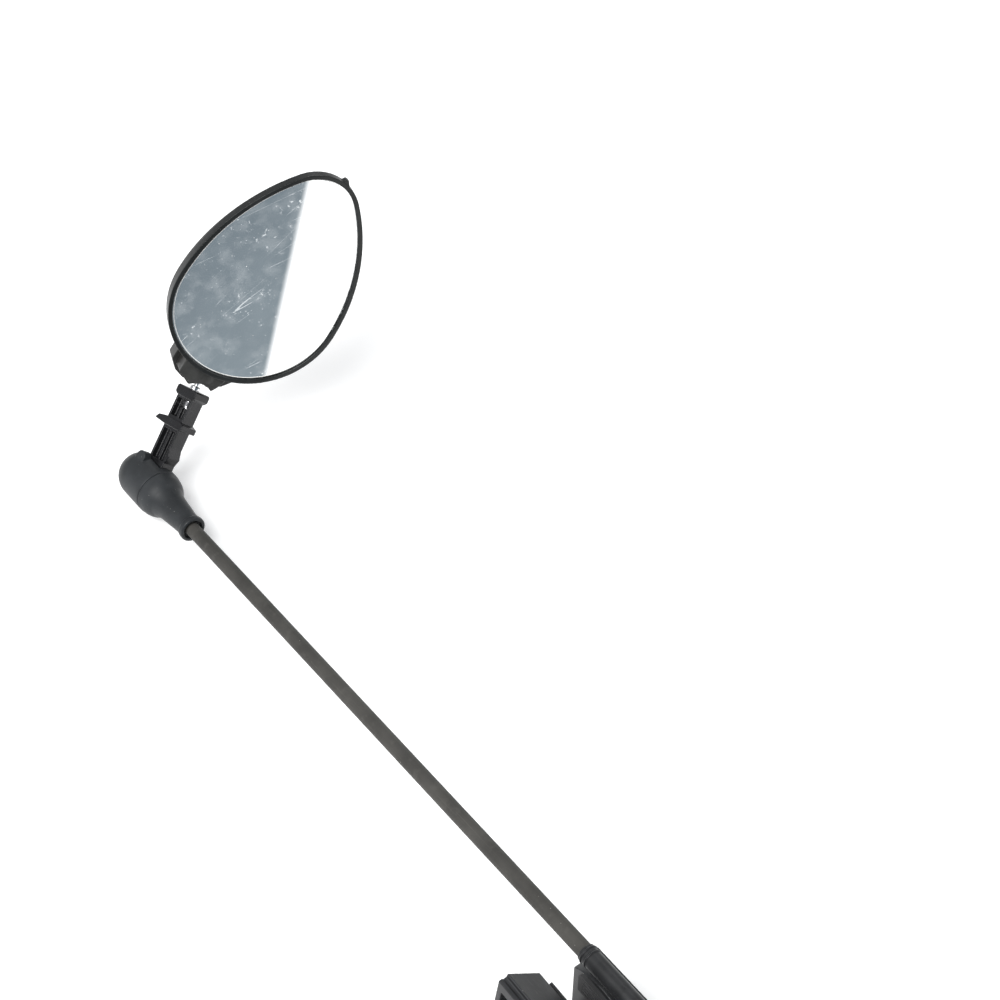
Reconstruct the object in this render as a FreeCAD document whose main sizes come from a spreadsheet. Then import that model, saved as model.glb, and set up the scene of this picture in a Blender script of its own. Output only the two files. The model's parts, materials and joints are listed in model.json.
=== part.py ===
"""Helmet mirror on a clip: clamp, pivoting arm, swivelling elbow, folding link and ball-jointed head.

Frame: the origin is the centre of the fixed jaw's gripping face. +X runs from the outer jaw to the
fixed jaw, +Y is forward, along the arm, and +Z is up. Millimetres.
"""
import FreeCAD, Part
import math
import os

import Sketcher

V = FreeCAD.Vector
DOC = FreeCAD.newDocument("HelmetMirror")
SHEET = DOC.addObject("Spreadsheet::Sheet", "Sizes")

# Driving dimensions, in millimetres and degrees.
SIZES = {
    # Play between pieces
    "run_gap": 0.06,            # radial play of a turning fit
    "slip_gap": 0.3,            # play of a loose fit
    # Clip
    "clip_width": 21.0,         # along Y
    "pad_thick": 1.0,
    "pad_tall": 8.0,
    "pad_width": 15.0,
    "wall_thick": 2.2,
    "pivot_drop": 9.3,          # from the gripping face's centre down to the clamp screw
    "head_room": 1.4,           # between the fixed jaw's round top and the arm's tube
    "base_depth": 6.5,          # from the clamp screw down to the clip's underside
    "rail_width": 7.0,
    "rail_thick": 3.0,
    "rail_reach": 19.0,
    "stop_radius": 5.0,
    "stop_height": 1.5,
    "boss_radius": 5.0,
    "jaw_top": 20.2,
    "jaw_outer": 21.4,
    "jaw_crown": 2.8,
    "lead_in_run": 9.1,
    "lead_in_drop": 9.8,
    "jaw_toe": 6.2,
    "jaw_toe_drop": 4.5,
    "jaw_bulge": 24.0,
    "recess_frame": 1.6,
    "recess_depth": 4.4,
    "screw_diameter": 4.0,
    "screw_tip": 10.6,
    "knob_diameter": 12.6,
    "knob_thick": 7.2,
    "hex_flats": 7.0,
    "nut_thick": 3.2,
    "head_thick": 2.8,
    "ring_thick": 0.6,
    # Arm
    "arm_offset": 3.0,          # from the gripping face to the tube's centreline
    "arm_lift": 18.7,           # from the pivot to the tube's centreline
    "arm_pitch": 5.0,
    "lug_thick": 2.6,
    "lug_radius": 7.5,
    "tube_diameter": 4.9,
    "tube_front": 7.4,
    "tube_length": 23.0,
    "core_diameter": 3.0,
    "rod_diameter": 4.2,
    "rod_length": 208.7,        # from the tube's mouth to the elbow dome's centre
    # Elbow
    "elbow_radius": 7.05,
    "dome_length": 9.4,         # from the swivel seam to the dome's centre
    "cone_length": 20.0,
    "cone_mouth_radius": 3.95,
    "cone_neck_radius": 3.6,
    "stem_diameter": 6.0,
    "stem_length": 6.5,
    "web_thick": 1.6,
    "swivel_diameter": 2.0,
    "swivel_angle": 48.0,
    "fold_lean": 12.0,
    "ear_diameter": 3.8,        # the raised ear on the near cheek of the slot
    "ear_reach": 5.4,
    "ear_rise": 5.6,
    "fold_pin_diameter": 2.0,
    "fold_pin_offset": 4.4,     # from the swivel seam to the fold pin
    # Link
    "link_width": 6.9,
    "link_thick": 4.6,
    "link_length": 30.6,
    "collar_thick": 3.0,
    "collar_width": 8.8,
    "flange_place": 19.3,
    "flange_thick": 1.6,
    "flange_reach": 7.6,        # on the side away from the arm
    "flange_stub": 4.9,         # on the side towards the arm
    "web_core": 1.2,
    "rib_thick": 0.9,
    "ball_reach": 37.5,         # from the fold pin to the ball's centre
    "ball_diameter": 5.5,
    "stud_diameter": 1.9,
    "stud_nut_width": 3.4,
    "stud_nut_thick": 1.3,
    # Head
    "head_yaw": -27.6,
    "head_pitch": 36.8,
    "head_roll": -13.2,
    "socket_below": 37.57,       # from the egg's middle down to the ball's centre
    "socket_behind": 7.76,       # from the glass face back to the ball's centre
    "glass_length": 68.5,
    "glass_width": 49.2,
    "tip_radius": 12.0,
    "glass_thick": 1.8,
    "film_thick": 0.15,
    "foam_length": 20.0,
    "foam_width": 18.0,
    "foam_rise": 22.5,          # from the ball's centre up to the foam's middle
    "bezel_width": 0.95,
    "bezel_lip": 0.35,
    "bezel_front": 0.9,
    "seat_width": 1.0,          # how far the shell's rim reaches in under the glass
    "shell_depth": 8.2,
    "shell_wall": 1.5,
    "race_wall": 1.15,          # round the ball
    "housing_wall": 1.8,        # round the race
    "race_mouth": 50.0,
    "socket_mouth": 42.0,
    "cap_width": 20.8,
    "cap_top": 10.5,
    "housing_foot": 5.7,        # from the ball's centre down to the socket cap's lower edge
    "cap_depth": 5.2,
    "cap_screw_spread": 7.6,
    "cap_screw_rise": 6.8,
    "cap_screw_diameter": 2.0,
}


class Size:
    """A number together with the sheet expression that gives it."""

    def __init__(self, value, text):
        self.value = float(value)
        self.text = text

    def _join(self, other, sign, flip=False):
        other = size(other)
        a, b = (other, self) if flip else (self, other)
        result = {"+": a.value + b.value, "-": a.value - b.value, "*": a.value * b.value}
        value = result[sign] if sign in result else a.value / b.value
        return Size(value, f"({a.text} {sign} {b.text})")

    def __add__(self, other):
        return self._join(other, "+")

    def __radd__(self, other):
        return self._join(other, "+", True)

    def __sub__(self, other):
        return self._join(other, "-")

    def __rsub__(self, other):
        return self._join(other, "-", True)

    def __mul__(self, other):
        return self._join(other, "*")

    def __rmul__(self, other):
        return self._join(other, "*", True)

    def __truediv__(self, other):
        return self._join(other, "/")

    def __neg__(self):
        return 0 - self


def fill_sheet():
    """Write every driving dimension to the sheet and return them by name."""
    found = {}
    for row, (name, value) in enumerate(SIZES.items(), start=1):
        SHEET.set(f"A{row}", name)
        SHEET.set(f"B{row}", str(value))
        SHEET.setAlias(f"B{row}", name)
        found[name] = Size(value, f"Sizes.{name}")
    DOC.recompute()
    return found


S = fill_sheet()


def size(value):
    """Give a plain number the form of a Size."""
    if isinstance(value, Size):
        return value
    return Size(value, f"({float(value)!r})" if value < 0 else repr(float(value)))


def bind(thing, **sizes):
    """Set properties of an object and tie them to the sheet."""
    for name, value in sizes.items():
        value = size(value)
        setattr(thing, name, value.value)
        if "Sizes." in value.text:
            thing.setExpression(name, value.text)
    return thing


def place(thing, x=0, y=0, z=0, rotation=None):
    """Put an object at a place whose coordinates are tied to the sheet."""
    spot = [size(x), size(y), size(z)]
    turn = rotation if rotation is not None else FreeCAD.Rotation()
    thing.Placement = FreeCAD.Placement(V(*[c.value for c in spot]), turn)
    for axis, coordinate in zip("xyz", spot):
        if "Sizes." in coordinate.text:
            thing.setExpression(f".Placement.Base.{axis}", coordinate.text)
    return thing


ALONG_X = FreeCAD.Rotation(V(0, 0, 1), V(1, 0, 0))
ALONG_Y = FreeCAD.Rotation(V(0, 0, 1), V(0, 1, 0))
ALONG_Z = FreeCAD.Rotation()


def box(name, x, y, z):
    """A box from three (low, high) pairs."""
    (x0, x1), (y0, y1), (z0, z1) = x, y, z
    thing = DOC.addObject("Part::Box", name)
    bind(thing, Length=size(x1) - x0, Width=size(y1) - y0, Height=size(z1) - z0)
    return place(thing, x0, y0, z0)


def rod(name, diameter, start, end, x=0, y=0, z=0, along=ALONG_X):
    """A cylinder from start to end along one axis."""
    thing = DOC.addObject("Part::Cylinder", name)
    bind(thing, Radius=size(diameter) / 2, Height=size(end) - start)
    shift = {0: (start, 0, 0), 1: (0, start, 0), 2: (0, 0, start)}
    index = [ALONG_X, ALONG_Y, ALONG_Z].index(along)
    dx, dy, dz = shift[index]
    return place(thing, size(x) + dx, size(y) + dy, size(z) + dz, along)


def ball(name, radius, x=0, y=0, z=0):
    """A sphere."""
    thing = DOC.addObject("Part::Sphere", name)
    bind(thing, Radius=radius)
    return place(thing, x, y, z)


def fuse(name, *pieces):
    """One solid from several that overlap."""
    thing = DOC.addObject("Part::MultiFuse", name)
    thing.Shapes = list(pieces)
    thing.Refine = True
    return thing


def cut(name, base, *tools):
    """A solid with others taken away from it."""
    tool = tools[0] if len(tools) == 1 else DOC.addObject("Part::MultiFuse", name + "_tools")
    if len(tools) > 1:
        tool.Shapes = list(tools)
    thing = DOC.addObject("Part::Cut", name)
    thing.Base = base
    thing.Tool = tool
    thing.Refine = True
    return thing


def common(name, first, second):
    """The solid that two share."""
    thing = DOC.addObject("Part::MultiCommon", name)
    thing.Shapes = [first, second]
    return thing


QUARTER = math.tan(math.radians(22.5)) / 2     # bulge of a quarter circle


def bulged_arc(a, b, bulge):
    """The arc from a to b that stands off its chord by a share of it, drawn anticlockwise."""
    chord = b - a
    left = V(-chord.y, chord.x, 0)
    centre = (a + b) * 0.5 - left * ((0.25 - bulge * bulge) / (2 * bulge))
    start, end = (b, a) if bulge > 0 else (a, b)
    angles = [math.atan2(p.y - centre.y, p.x - centre.x) for p in (start, end)]
    if angles[1] < angles[0]:
        angles[1] += 2 * math.pi
    circle = Part.Circle(centre, V(0, 0, 1), (a - centre).Length)
    return Part.ArcOfCircle(circle, *angles)


def add_outline(sketch, points):
    """Draw a closed outline of points (x, y), or (x, y, bulge) where an arc reaches the point.

    The bulge is how far the arc stands off its chord, to the left, as a share of the chord.
    """
    spots = [(size(p[0]), size(p[1]), p[2] if len(p) > 2 else None) for p in points]
    count = len(spots)
    for index in range(count):
        ahead = spots[(index + 1) % count]
        a = V(spots[index][0].value, spots[index][1].value, 0)
        b = V(ahead[0].value, ahead[1].value, 0)
        if ahead[2] is None:
            sketch.addGeometry(Part.LineSegment(a, b), False)
            continue
        sketch.addGeometry(bulged_arc(a, b, ahead[2]), False)
    ends = []
    for index in range(count):
        curve = sketch.Geometry[index]
        target = V(spots[index][0].value, spots[index][1].value, 0)
        first = curve.StartPoint.distanceToPoint(target) < 1e-6
        ends.append((1, 2) if first else (2, 1))
    rules, ties = [], {}
    for index in range(count):
        ahead = (index + 1) % count
        rules.append(Sketcher.Constraint("Coincident", index, ends[index][1], ahead, ends[ahead][0]))
    for index, (x, y, _) in enumerate(spots):
        start = ends[index][0]
        for kind, axis, value in (("DistanceX", -2, x), ("DistanceY", -1, y)):
            if abs(value.value) < 1e-9:
                rules.append(Sketcher.Constraint("PointOnObject", index, start, axis))
                continue
            ties[len(rules)] = value.text
            rules.append(Sketcher.Constraint(kind, -1, 1, index, start, value.value))
    for index in range(count):
        x1, y1, bulge = spots[(index + 1) % count]
        if bulge is None:
            continue
        x0, y0, _ = spots[index]
        dx, dy = x1 - x0, y1 - y0
        inward = (0.25 - bulge * bulge) / (2 * bulge)
        if abs(dx.value) > abs(dy.value):
            kind, centre = "DistanceY", (y0 + y1) / 2 - dx * inward
        else:
            kind, centre = "DistanceX", (x0 + x1) / 2 + dy * inward
        ties[len(rules)] = centre.text
        rules.append(Sketcher.Constraint(kind, -1, 1, index, 3, centre.value))
    sketch.addConstraint(rules)
    for number, text in ties.items():
        if "Sizes." in text:
            sketch.setExpression(f"Constraints[{number}]", text)
    return sketch


PLANES = {
    "XZ": FreeCAD.Rotation(V(1, 0, 0), 90),
    "YZ": FreeCAD.Rotation(V(1, 1, 1), 120),
    "XY": FreeCAD.Rotation(),
}
NORMALS = {"XZ": V(0, -1, 0), "YZ": V(1, 0, 0), "XY": V(0, 0, 1)}


def slab(name, points, low, high, plane):
    """An outline in a plane, drawn out from low to high along the axis across that plane."""
    sketch = DOC.addObject("Sketcher::SketchObject", name + "_outline")
    add_outline(sketch, points)
    axis = {"XZ": "y", "YZ": "x", "XY": "z"}[plane]
    start = high if plane == "XZ" else low
    place(sketch, **{axis: start, "rotation": PLANES[plane]})
    thing = DOC.addObject("Part::Extrusion", name)
    thing.Base = sketch
    thing.DirMode = "Custom"
    thing.Dir = NORMALS[plane]
    thing.Solid = True
    return bind(thing, LengthFwd=size(high) - low)


def turned(name, points, x=0, y=0, z=0, along="y"):
    """A round piece: an outline of (distance along the axis, radius) turned about that axis."""
    body = DOC.addObject("PartDesign::Body", name)
    sketch = body.newObject("Sketcher::SketchObject", name + "_outline")
    plane = [f for f in body.Origin.OriginFeatures if f.Role == "XY_Plane"][0]
    sketch.AttachmentSupport = (plane, [""])
    sketch.MapMode = "FlatFace"
    add_outline(sketch, points)
    feature = body.newObject("PartDesign::Revolution", name + "_turn")
    feature.Profile = sketch
    feature.ReferenceAxis = (sketch, ["H_Axis"])
    feature.Angle = 360.0
    turn = {
        "x": FreeCAD.Rotation(),
        "y": FreeCAD.Rotation(V(0, 0, 1), 90),
        "z": FreeCAD.Rotation(V(0, 1, 0), -90),
    }[along]
    return place(body, x, y, z, turn)


def padded(name, points, low, high, plane):
    """A flat piece: an outline padded from low to high across one of the body's own planes."""
    body = DOC.addObject("PartDesign::Body", name)
    sketch = body.newObject("Sketcher::SketchObject", name + "_outline")
    support = [f for f in body.Origin.OriginFeatures if f.Role == plane + "_Plane"][0]
    sketch.AttachmentSupport = (support, [""])
    sketch.MapMode = "FlatFace"
    add_outline(sketch, points)
    pad = body.newObject("PartDesign::Pad", name + "_pad")
    pad.Profile = sketch
    bind(pad, Length=size(high) - low)
    axis = {"XZ": "y", "YZ": "x", "XY": "z"}[plane]
    return place(body, **{axis: high if plane == "XZ" else low})


def hexagon(name, flats, low, high, x=0, y=0, z=0):
    """A six-sided prism along X."""
    thing = DOC.addObject("Part::Prism", name)
    thing.Polygon = 6
    bind(thing, Circumradius=size(flats) / math.sqrt(3), Height=size(high) - low)
    return place(thing, size(x) + low, y, z, ALONG_X)


def egg_sketch(name, length, width, tip, middle, at):
    """An egg of four tangent arcs in the XZ plane, round end down, at a place along Y."""
    sketch = DOC.addObject("Sketcher::SketchObject", name)
    big = width / 2
    low = middle - length / 2 + big
    rise = length - big - tip
    side = (big * big + rise * rise - tip * tip) / ((big - tip) * 2)
    off = side - big
    end = math.atan2(rise.value, off.value)
    flip = math.pi
    circles = [
        (0, low, big, math.pi, 2 * math.pi),
        (-off, low, side, 0, end),
        (0, low + rise, tip, end, flip - end),
        (off, low, side, flip - end, flip),
    ]
    for x, z, radius, start, stop in circles:
        circle = Part.Circle(V(size(x).value, z.value, 0), V(0, 0, 1), radius.value)
        sketch.addGeometry(Part.ArcOfCircle(circle, start, stop), False)
    rules = [Sketcher.Constraint("Tangent", index, 2, (index + 1) % 4, 1) for index in range(4)]
    ties = {}
    for index in (0, 2):
        rules.append(Sketcher.Constraint("PointOnObject", index, 3, -2))
        for kind, part in (("DistanceY", 1), ("Radius", 2)):
            value = circles[index][part]
            ties[len(rules)] = value.text
            spot = (-1, 1, index, 3) if kind == "DistanceY" else (index,)
            rules.append(Sketcher.Constraint(kind, *spot, value.value))
    rules.append(Sketcher.Constraint("Horizontal", 0, 1, 0, 2))
    sketch.addConstraint(rules)
    for number, text in ties.items():
        sketch.setExpression(f"Constraints[{number}]", text)
    return place(sketch, y=at, rotation=PLANES["XZ"])


def egg_plate(name, sizes, middle, front, back):
    """An egg-shaped plate of a length, width and tip radius, from front to back along Y."""
    length, width, tip = sizes
    thing = DOC.addObject("Part::Extrusion", name)
    thing.Base = egg_sketch(name + "_outline", length, width, tip, middle, back)
    thing.DirMode = "Custom"
    thing.Dir = V(0, -1, 0)
    thing.Solid = True
    return bind(thing, LengthFwd=size(back) - front)


def egg(name, grow, front, back):
    """An egg-shaped plate: the glass outline grown by a margin."""
    grow = size(grow)
    sizes = (S["glass_length"] + grow * 2, S["glass_width"] + grow * 2, S["tip_radius"] + grow)
    return egg_plate(name, sizes, S["socket_below"], front, back)


def egg_dome(name, steps, inset=0.0):
    """A domed egg whose tip draws in towards the socket as it deepens.

    Each step is its depth, how much its outline is grown and how far its tip is drawn in.
    """
    foot = S["socket_below"] - S["glass_length"] / 2 - S["bezel_width"] + inset
    sections = []
    for index, (at, grow, drawn) in enumerate(steps):
        length = S["glass_length"] + size(grow) * 2 - drawn - size(inset) * 2
        width = S["glass_width"] + size(grow) * 2 - size(inset) * 2
        tip = S["tip_radius"] + (size(grow) - inset) * 0.8
        low = foot + (S["bezel_width"] - grow) * 0.35
        sections.append(egg_sketch(f"{name}_section_{index}", length, width, tip, low + length / 2, at))
    thing = DOC.addObject("Part::Loft", name)
    thing.Sections = sections
    thing.Solid = True
    thing.Ruled = False
    return thing


# ---------------------------------------------------------------- frames of the moving pieces

def frame(parent, x, y, z, rotation):
    """A child frame inside a parent frame."""
    return parent.multiply(FreeCAD.Placement(V(x, y, z), rotation))


WORLD = FreeCAD.Placement()
ARM = frame(WORLD, SIZES["arm_offset"], 0, -SIZES["pivot_drop"],
            FreeCAD.Rotation(V(1, 0, 0), -SIZES["arm_pitch"]))
SEAM = S["tube_front"] + S["rod_length"] - S["dome_length"]
ELBOW = frame(ARM, 0, SEAM.value, SIZES["arm_lift"], FreeCAD.Rotation(V(0, 1, 0), SIZES["swivel_angle"]))
LINK = frame(ELBOW, 0, SIZES["fold_pin_offset"], 0, FreeCAD.Rotation(V(1, 0, 0), -SIZES["fold_lean"]))
BALL_POINT = LINK.multVec(V(0, 0, SIZES["ball_reach"]))
HEAD = FreeCAD.Placement(BALL_POINT, FreeCAD.Rotation(SIZES["head_yaw"], SIZES["head_pitch"], SIZES["head_roll"]))
NODES = []


def node(thing, label, home=WORLD):
    """Name a finished sub-part and move it from its own frame to its place."""
    thing.Label = label
    thing.Placement = home.multiply(thing.Placement)
    for path, _ in list(thing.ExpressionEngine):
        if "Placement" in path:
            thing.setExpression(path, None)
    NODES.append(thing)
    return thing


# ---------------------------------------------------------------- clip

def build_clip():
    """The fixed jaw with its base rail and pivot boss, and what is fastened to it."""
    drop, half = -S["pivot_drop"], S["clip_width"] / 2
    wall_in, wall_out = S["pad_thick"], S["pad_thick"] + S["wall_thick"]
    round_radius = S["arm_lift"] - S["tube_diameter"] / 2 - S["head_room"]
    floor = drop - S["base_depth"]
    wall = common("wall", rod("wall_round", round_radius * 2, wall_in, wall_out, z=drop),
                  box("wall_block", (wall_in, wall_out), (-half, half), (floor, round_radius * 2)))
    lug_face = wall_out + S["slip_gap"]
    lug_back = lug_face + S["lug_thick"]
    ring_at = lug_back + S["run_gap"] * 2 + S["ring_thick"]
    boss_end = ring_at + S["ring_thick"] * 2
    boss = rod("pivot_boss", S["boss_radius"] * 2, wall_in, boss_end, z=drop)
    stop = rod("stop_ring", S["stop_radius"] * 2, wall_in - S["stop_height"], wall_in + 0.5, z=drop)
    rail = box("base_rail", (-S["rail_reach"], wall_in + 0.5), (-S["rail_width"] / 2, S["rail_width"] / 2),
               (floor, floor + S["rail_thick"]))
    foot = box("rail_root", (-S["pad_thick"] * 2, wall_in + 0.5), (-half + 2, half - 2), (floor, floor + 2))
    hole = rod("screw_hole", S["screw_diameter"] + S["slip_gap"] * 2, -S["stop_height"] * 2, boss_end + 1, z=drop)
    pocket = hexagon("nut_pocket", S["hex_flats"] + S["run_gap"] * 2, boss_end - S["nut_thick"],
                     boss_end + 1, z=drop)
    outside = rod("groove_outside", S["boss_radius"] * 3, ring_at, ring_at + S["ring_thick"], z=drop)
    core = rod("groove_core", S["boss_radius"] * 2 - 0.8, ring_at - 1, ring_at + S["ring_thick"] + 1, z=drop)
    groove = cut("ring_groove", outside, core)
    frame_piece = cut("clip_frame_cut", fuse("clip_frame_fuse", wall, boss, stop, rail, foot), hole, pocket, groove)
    node(frame_piece, "clip_frame")

    pad_half, pad_up = S["pad_width"] / 2, S["pad_tall"] / 2
    nip = 1.6
    pad = padded("inner_pad_body", [
        (-pad_half, -pad_up), (pad_half, -pad_up), (pad_half, pad_up - nip), (pad_half - nip, pad_up, -QUARTER),
        (-pad_half + nip, pad_up), (-pad_half, pad_up - nip, -QUARTER)], 0, wall_in, "YZ")
    node(pad, "inner_pad")

    nut = cut("jaw_nut_cut", hexagon("nut_blank", S["hex_flats"], boss_end - S["nut_thick"], boss_end, z=drop),
              rod("nut_bore", S["screw_diameter"] + S["run_gap"] * 2, boss_end - S["nut_thick"] - 1,
                  boss_end + 1, z=drop))
    node(nut, "jaw_nut")
    inner = S["boss_radius"] + S["run_gap"]
    outer = S["lug_radius"] - 0.6
    start = lug_back + S["run_gap"]
    washer = turned("pivot_washer_body", [(start, inner), (start + S["ring_thick"], inner),
                                          (start + S["ring_thick"], outer), (start, outer)], z=drop, along="x")
    node(washer, "pivot_washer")
    seat = S["boss_radius"] - 0.4 + S["run_gap"]
    low, high = ring_at + S["run_gap"] / 2, ring_at + S["ring_thick"] - S["run_gap"] / 2
    ring = turned("pivot_ring_body", [(low, seat), (high, seat), (high, outer), (low, outer)], z=drop, along="x")
    slot = box("ring_mouth", (low - 1, high + 1), (-1.1, 1.1), (drop - outer * 2, drop))
    node(cut("pivot_ring_cut", ring, slot), "pivot_ring")


# ---------------------------------------------------------------- outer jaw and clamp screw

def build_jaw():
    """The sliding outer jaw, a hollow block with a sloped lead-in, and its rubber pad."""
    drop, half = -S["pivot_drop"], S["clip_width"] / 2
    floor = drop - S["base_depth"]
    crown_in = -S["jaw_outer"] + S["jaw_crown"]
    lip_x, lip_z = crown_in + S["lead_in_run"], S["jaw_top"] - S["lead_in_drop"]
    toe_x, toe_z = -S["jaw_toe"], -S["jaw_toe_drop"]
    bulge = -S["jaw_bulge"]
    outline = [(-S["jaw_outer"], S["jaw_top"] - 0.4), (bulge + 0.3, S["jaw_top"] / 4), (bulge, drop + 2),
               (bulge + 2.2, floor), (toe_x, floor), (toe_x, toe_z), (lip_x, lip_z), (crown_in, S["jaw_top"])]
    block = slab("jaw_block", outline, -half, half, "XZ")
    edge = S["recess_frame"]
    recess = box("jaw_recess", (bulge - 5, bulge + S["recess_depth"] + 1.5), (-half + edge, half - edge),
                 (drop + 4.5, S["jaw_top"] - edge - 1.5))
    groove = box("crown_groove", (-S["jaw_outer"] + 1.1, crown_in - 0.5), (-half - 1, half + 1),
                 (S["jaw_top"] - 0.8, S["jaw_top"] + 1))
    play = S["slip_gap"]
    rail_way = box("rail_way", (bulge - 1, 0), (-S["rail_width"] / 2 - play, S["rail_width"] / 2 + play),
                   (floor - 1, floor + S["rail_thick"] + play))
    hole = rod("jaw_screw_hole", S["screw_diameter"] + play * 2, bulge - 1, 0, z=drop)
    node(cut("outer_jaw_cut", block, recess, groove, rail_way, hole), "outer_jaw")

    run, fall = lip_x - toe_x, lip_z - toe_z
    length = math.hypot(run.value, fall.value)
    out_x, out_z = S["pad_thick"] * (fall.value / length), S["pad_thick"] * (-run.value / length)
    low_part, high_part = 0.07, 0.88
    ends = [(toe_x + run * share, toe_z + fall * share) for share in (low_part, high_part)]
    (x0, z0), (x1, z1) = ends
    pad = padded("outer_pad_body", [(x0, z0), (x0 + out_x, z0 + out_z), (x1 + out_x, z1 + out_z), (x1, z1)],
                 -S["pad_width"] / 2, S["pad_width"] / 2, "XZ")
    node(pad, "outer_pad")

    head_in = bulge - S["slip_gap"] - 2.4
    head_out = head_in - S["head_thick"]
    shank = rod("screw_shank", S["screw_diameter"], head_in - 0.5, S["screw_tip"], z=drop)
    head = hexagon("screw_head", S["hex_flats"], head_out, head_in, z=drop)
    ring_at = toe_x + S["slip_gap"]
    outside = rod("screw_groove_outside", S["screw_diameter"] * 2, ring_at, ring_at + S["ring_thick"], z=drop)
    core = rod("screw_groove_core", S["screw_diameter"] - 0.8, ring_at - 1, ring_at + 2, z=drop)
    socket = rod("screw_drive", S["screw_diameter"] * 0.8, head_out - 1, head_out + 1.5, z=drop)
    node(cut("clamp_screw_cut", fuse("screw_solid", shank, head), cut("screw_groove", outside, core), socket),
         "clamp_screw")

    knob_in = bulge - S["slip_gap"]
    blank = rod("knob_blank", S["knob_diameter"], knob_in - S["knob_thick"], knob_in, z=drop)
    tools = [hexagon("knob_pocket", S["hex_flats"], knob_in - S["knob_thick"] - 1, head_in, z=drop),
             rod("knob_bore", S["screw_diameter"], head_in - 1, knob_in + 1, z=drop)]
    lobes = 8
    for index in range(lobes):
        angle = 2 * math.pi * (index + 0.5) / lobes
        reach = S["knob_diameter"] / 2 + 0.5
        tools.append(rod(f"knob_flute_{index}", 2.4, knob_in - S["knob_thick"] - 1, knob_in - 1.2,
                         y=reach * math.cos(angle), z=drop + reach * math.sin(angle)))
    node(cut("screw_knob_cut", blank, *tools), "screw_knob")

    seat = S["screw_diameter"] / 2 - 0.4 + S["run_gap"]
    outer = S["screw_diameter"] / 2 + 1.0
    low, high = ring_at + S["run_gap"] / 2, ring_at + S["ring_thick"] - S["run_gap"] / 2
    ring = turned("screw_clip_body", [(low, seat), (high, seat), (high, outer), (low, outer)], z=drop, along="x")
    slot = box("clip_mouth", (low - 1, high + 1), (-0.9, 0.9), (drop, drop + outer * 2))
    node(cut("screw_clip_cut", ring, slot), "screw_clip")


# ---------------------------------------------------------------- arm

def build_arm():
    """The arm's socket with its pivot lug, the rod in its rubber, and the elbow's fixed half."""
    lug_in = S["pad_thick"] + S["wall_thick"] + S["slip_gap"] - S["arm_offset"]
    lug_out = lug_in + S["lug_thick"]
    lift, front = S["arm_lift"], S["tube_front"]
    back = front - S["tube_length"]
    disc = rod("lug_disc", S["lug_radius"] * 2, lug_in, lug_out)
    web = slab("lug_web", [(back + 1.5, lift), (-S["lug_radius"] * 0.96, 2), (S["lug_radius"] * 0.96, 2),
                           (front - 0.8, lift)], lug_in, lug_out, "YZ")
    tube = rod("socket_tube", S["tube_diameter"], back, front, z=lift, along=ALONG_Y)
    bore = rod("socket_bore", S["core_diameter"], back + 2, front + 1, z=lift, along=ALONG_Y)
    eye = rod("lug_eye", S["boss_radius"] * 2 + S["run_gap"] * 2, lug_in - 1, lug_out + 1)
    node(cut("arm_socket_cut", fuse("socket_solid", disc, web, tube), bore, eye), "arm_socket", ARM)

    dome_at = front + S["rod_length"]
    seam = dome_at - S["dome_length"]
    mouth = seam - S["cone_length"]
    web_front = seam - S["stem_length"] - S["slip_gap"]
    web_back = web_front - S["web_thick"]
    head_room = S["swivel_diameter"] + S["ring_thick"]
    rod_end = web_back - head_room
    node(rod("rod_core_blank", S["core_diameter"], back + 2, rod_end, z=lift, along=ALONG_Y), "rod_core", ARM)
    lip = 3.0
    inner, outer = S["core_diameter"] / 2, S["rod_diameter"] / 2
    sleeve = turned("rod_sleeve_body", [(front, inner), (rod_end - lip, inner), (rod_end - lip, outer),
                                        (front, outer)], z=lift)
    node(sleeve, "rod_sleeve", ARM)

    big, neck, rim = S["elbow_radius"], S["cone_neck_radius"], S["cone_mouth_radius"]
    profile = [
        (mouth, outer + 0.9), (mouth, rim - 0.5), (mouth + 0.5, rim, 0.2), (mouth + 1.4, rim),
        (mouth + 1.9, neck + 0.05, 0.15), (mouth + 4, neck), (seam - 9.4, neck + 0.7),
        (seam - 5.3, big - 1.75, -0.043), (seam - 1.6, big - 0.25, 0.075), (seam - 0.3, big), (seam, big - 0.25),
        (seam, S["stem_diameter"] / 2 + S["run_gap"]), (web_front, S["stem_diameter"] / 2 + S["run_gap"]),
        (web_front, S["swivel_diameter"] / 2 + S["run_gap"]), (web_back, S["swivel_diameter"] / 2 + S["run_gap"]),
        (web_back, outer), (rod_end, outer), (rod_end, inner), (rod_end - lip, inner), (rod_end - lip, outer),
        (mouth + 1.6, outer), (mouth + 1.6, outer + 0.9),
    ]
    node(turned("elbow_cone_body", profile, z=lift), "elbow_cone", ARM)

    shank_end = seam - 0.8
    head_top = web_back - S["ring_thick"]
    screw = turned("swivel_screw_body", [
        (head_top - 1.5, 0), (head_top - 1.5, S["swivel_diameter"] * 0.7), (head_top - 1.1, outer - 0.2),
        (head_top, outer - 0.2), (head_top, S["swivel_diameter"] / 2), (shank_end, S["swivel_diameter"] / 2),
        (shank_end, 0)], z=lift)
    node(screw, "swivel_screw", ARM)
    washer = turned("swivel_washer_body", [
        (head_top, S["swivel_diameter"] / 2 + S["run_gap"]), (web_back, S["swivel_diameter"] / 2 + S["run_gap"]),
        (web_back, outer - 0.1), (head_top, outer - 0.1)], z=lift)
    node(washer, "swivel_washer", ARM)


# ---------------------------------------------------------------- elbow and link

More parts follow.
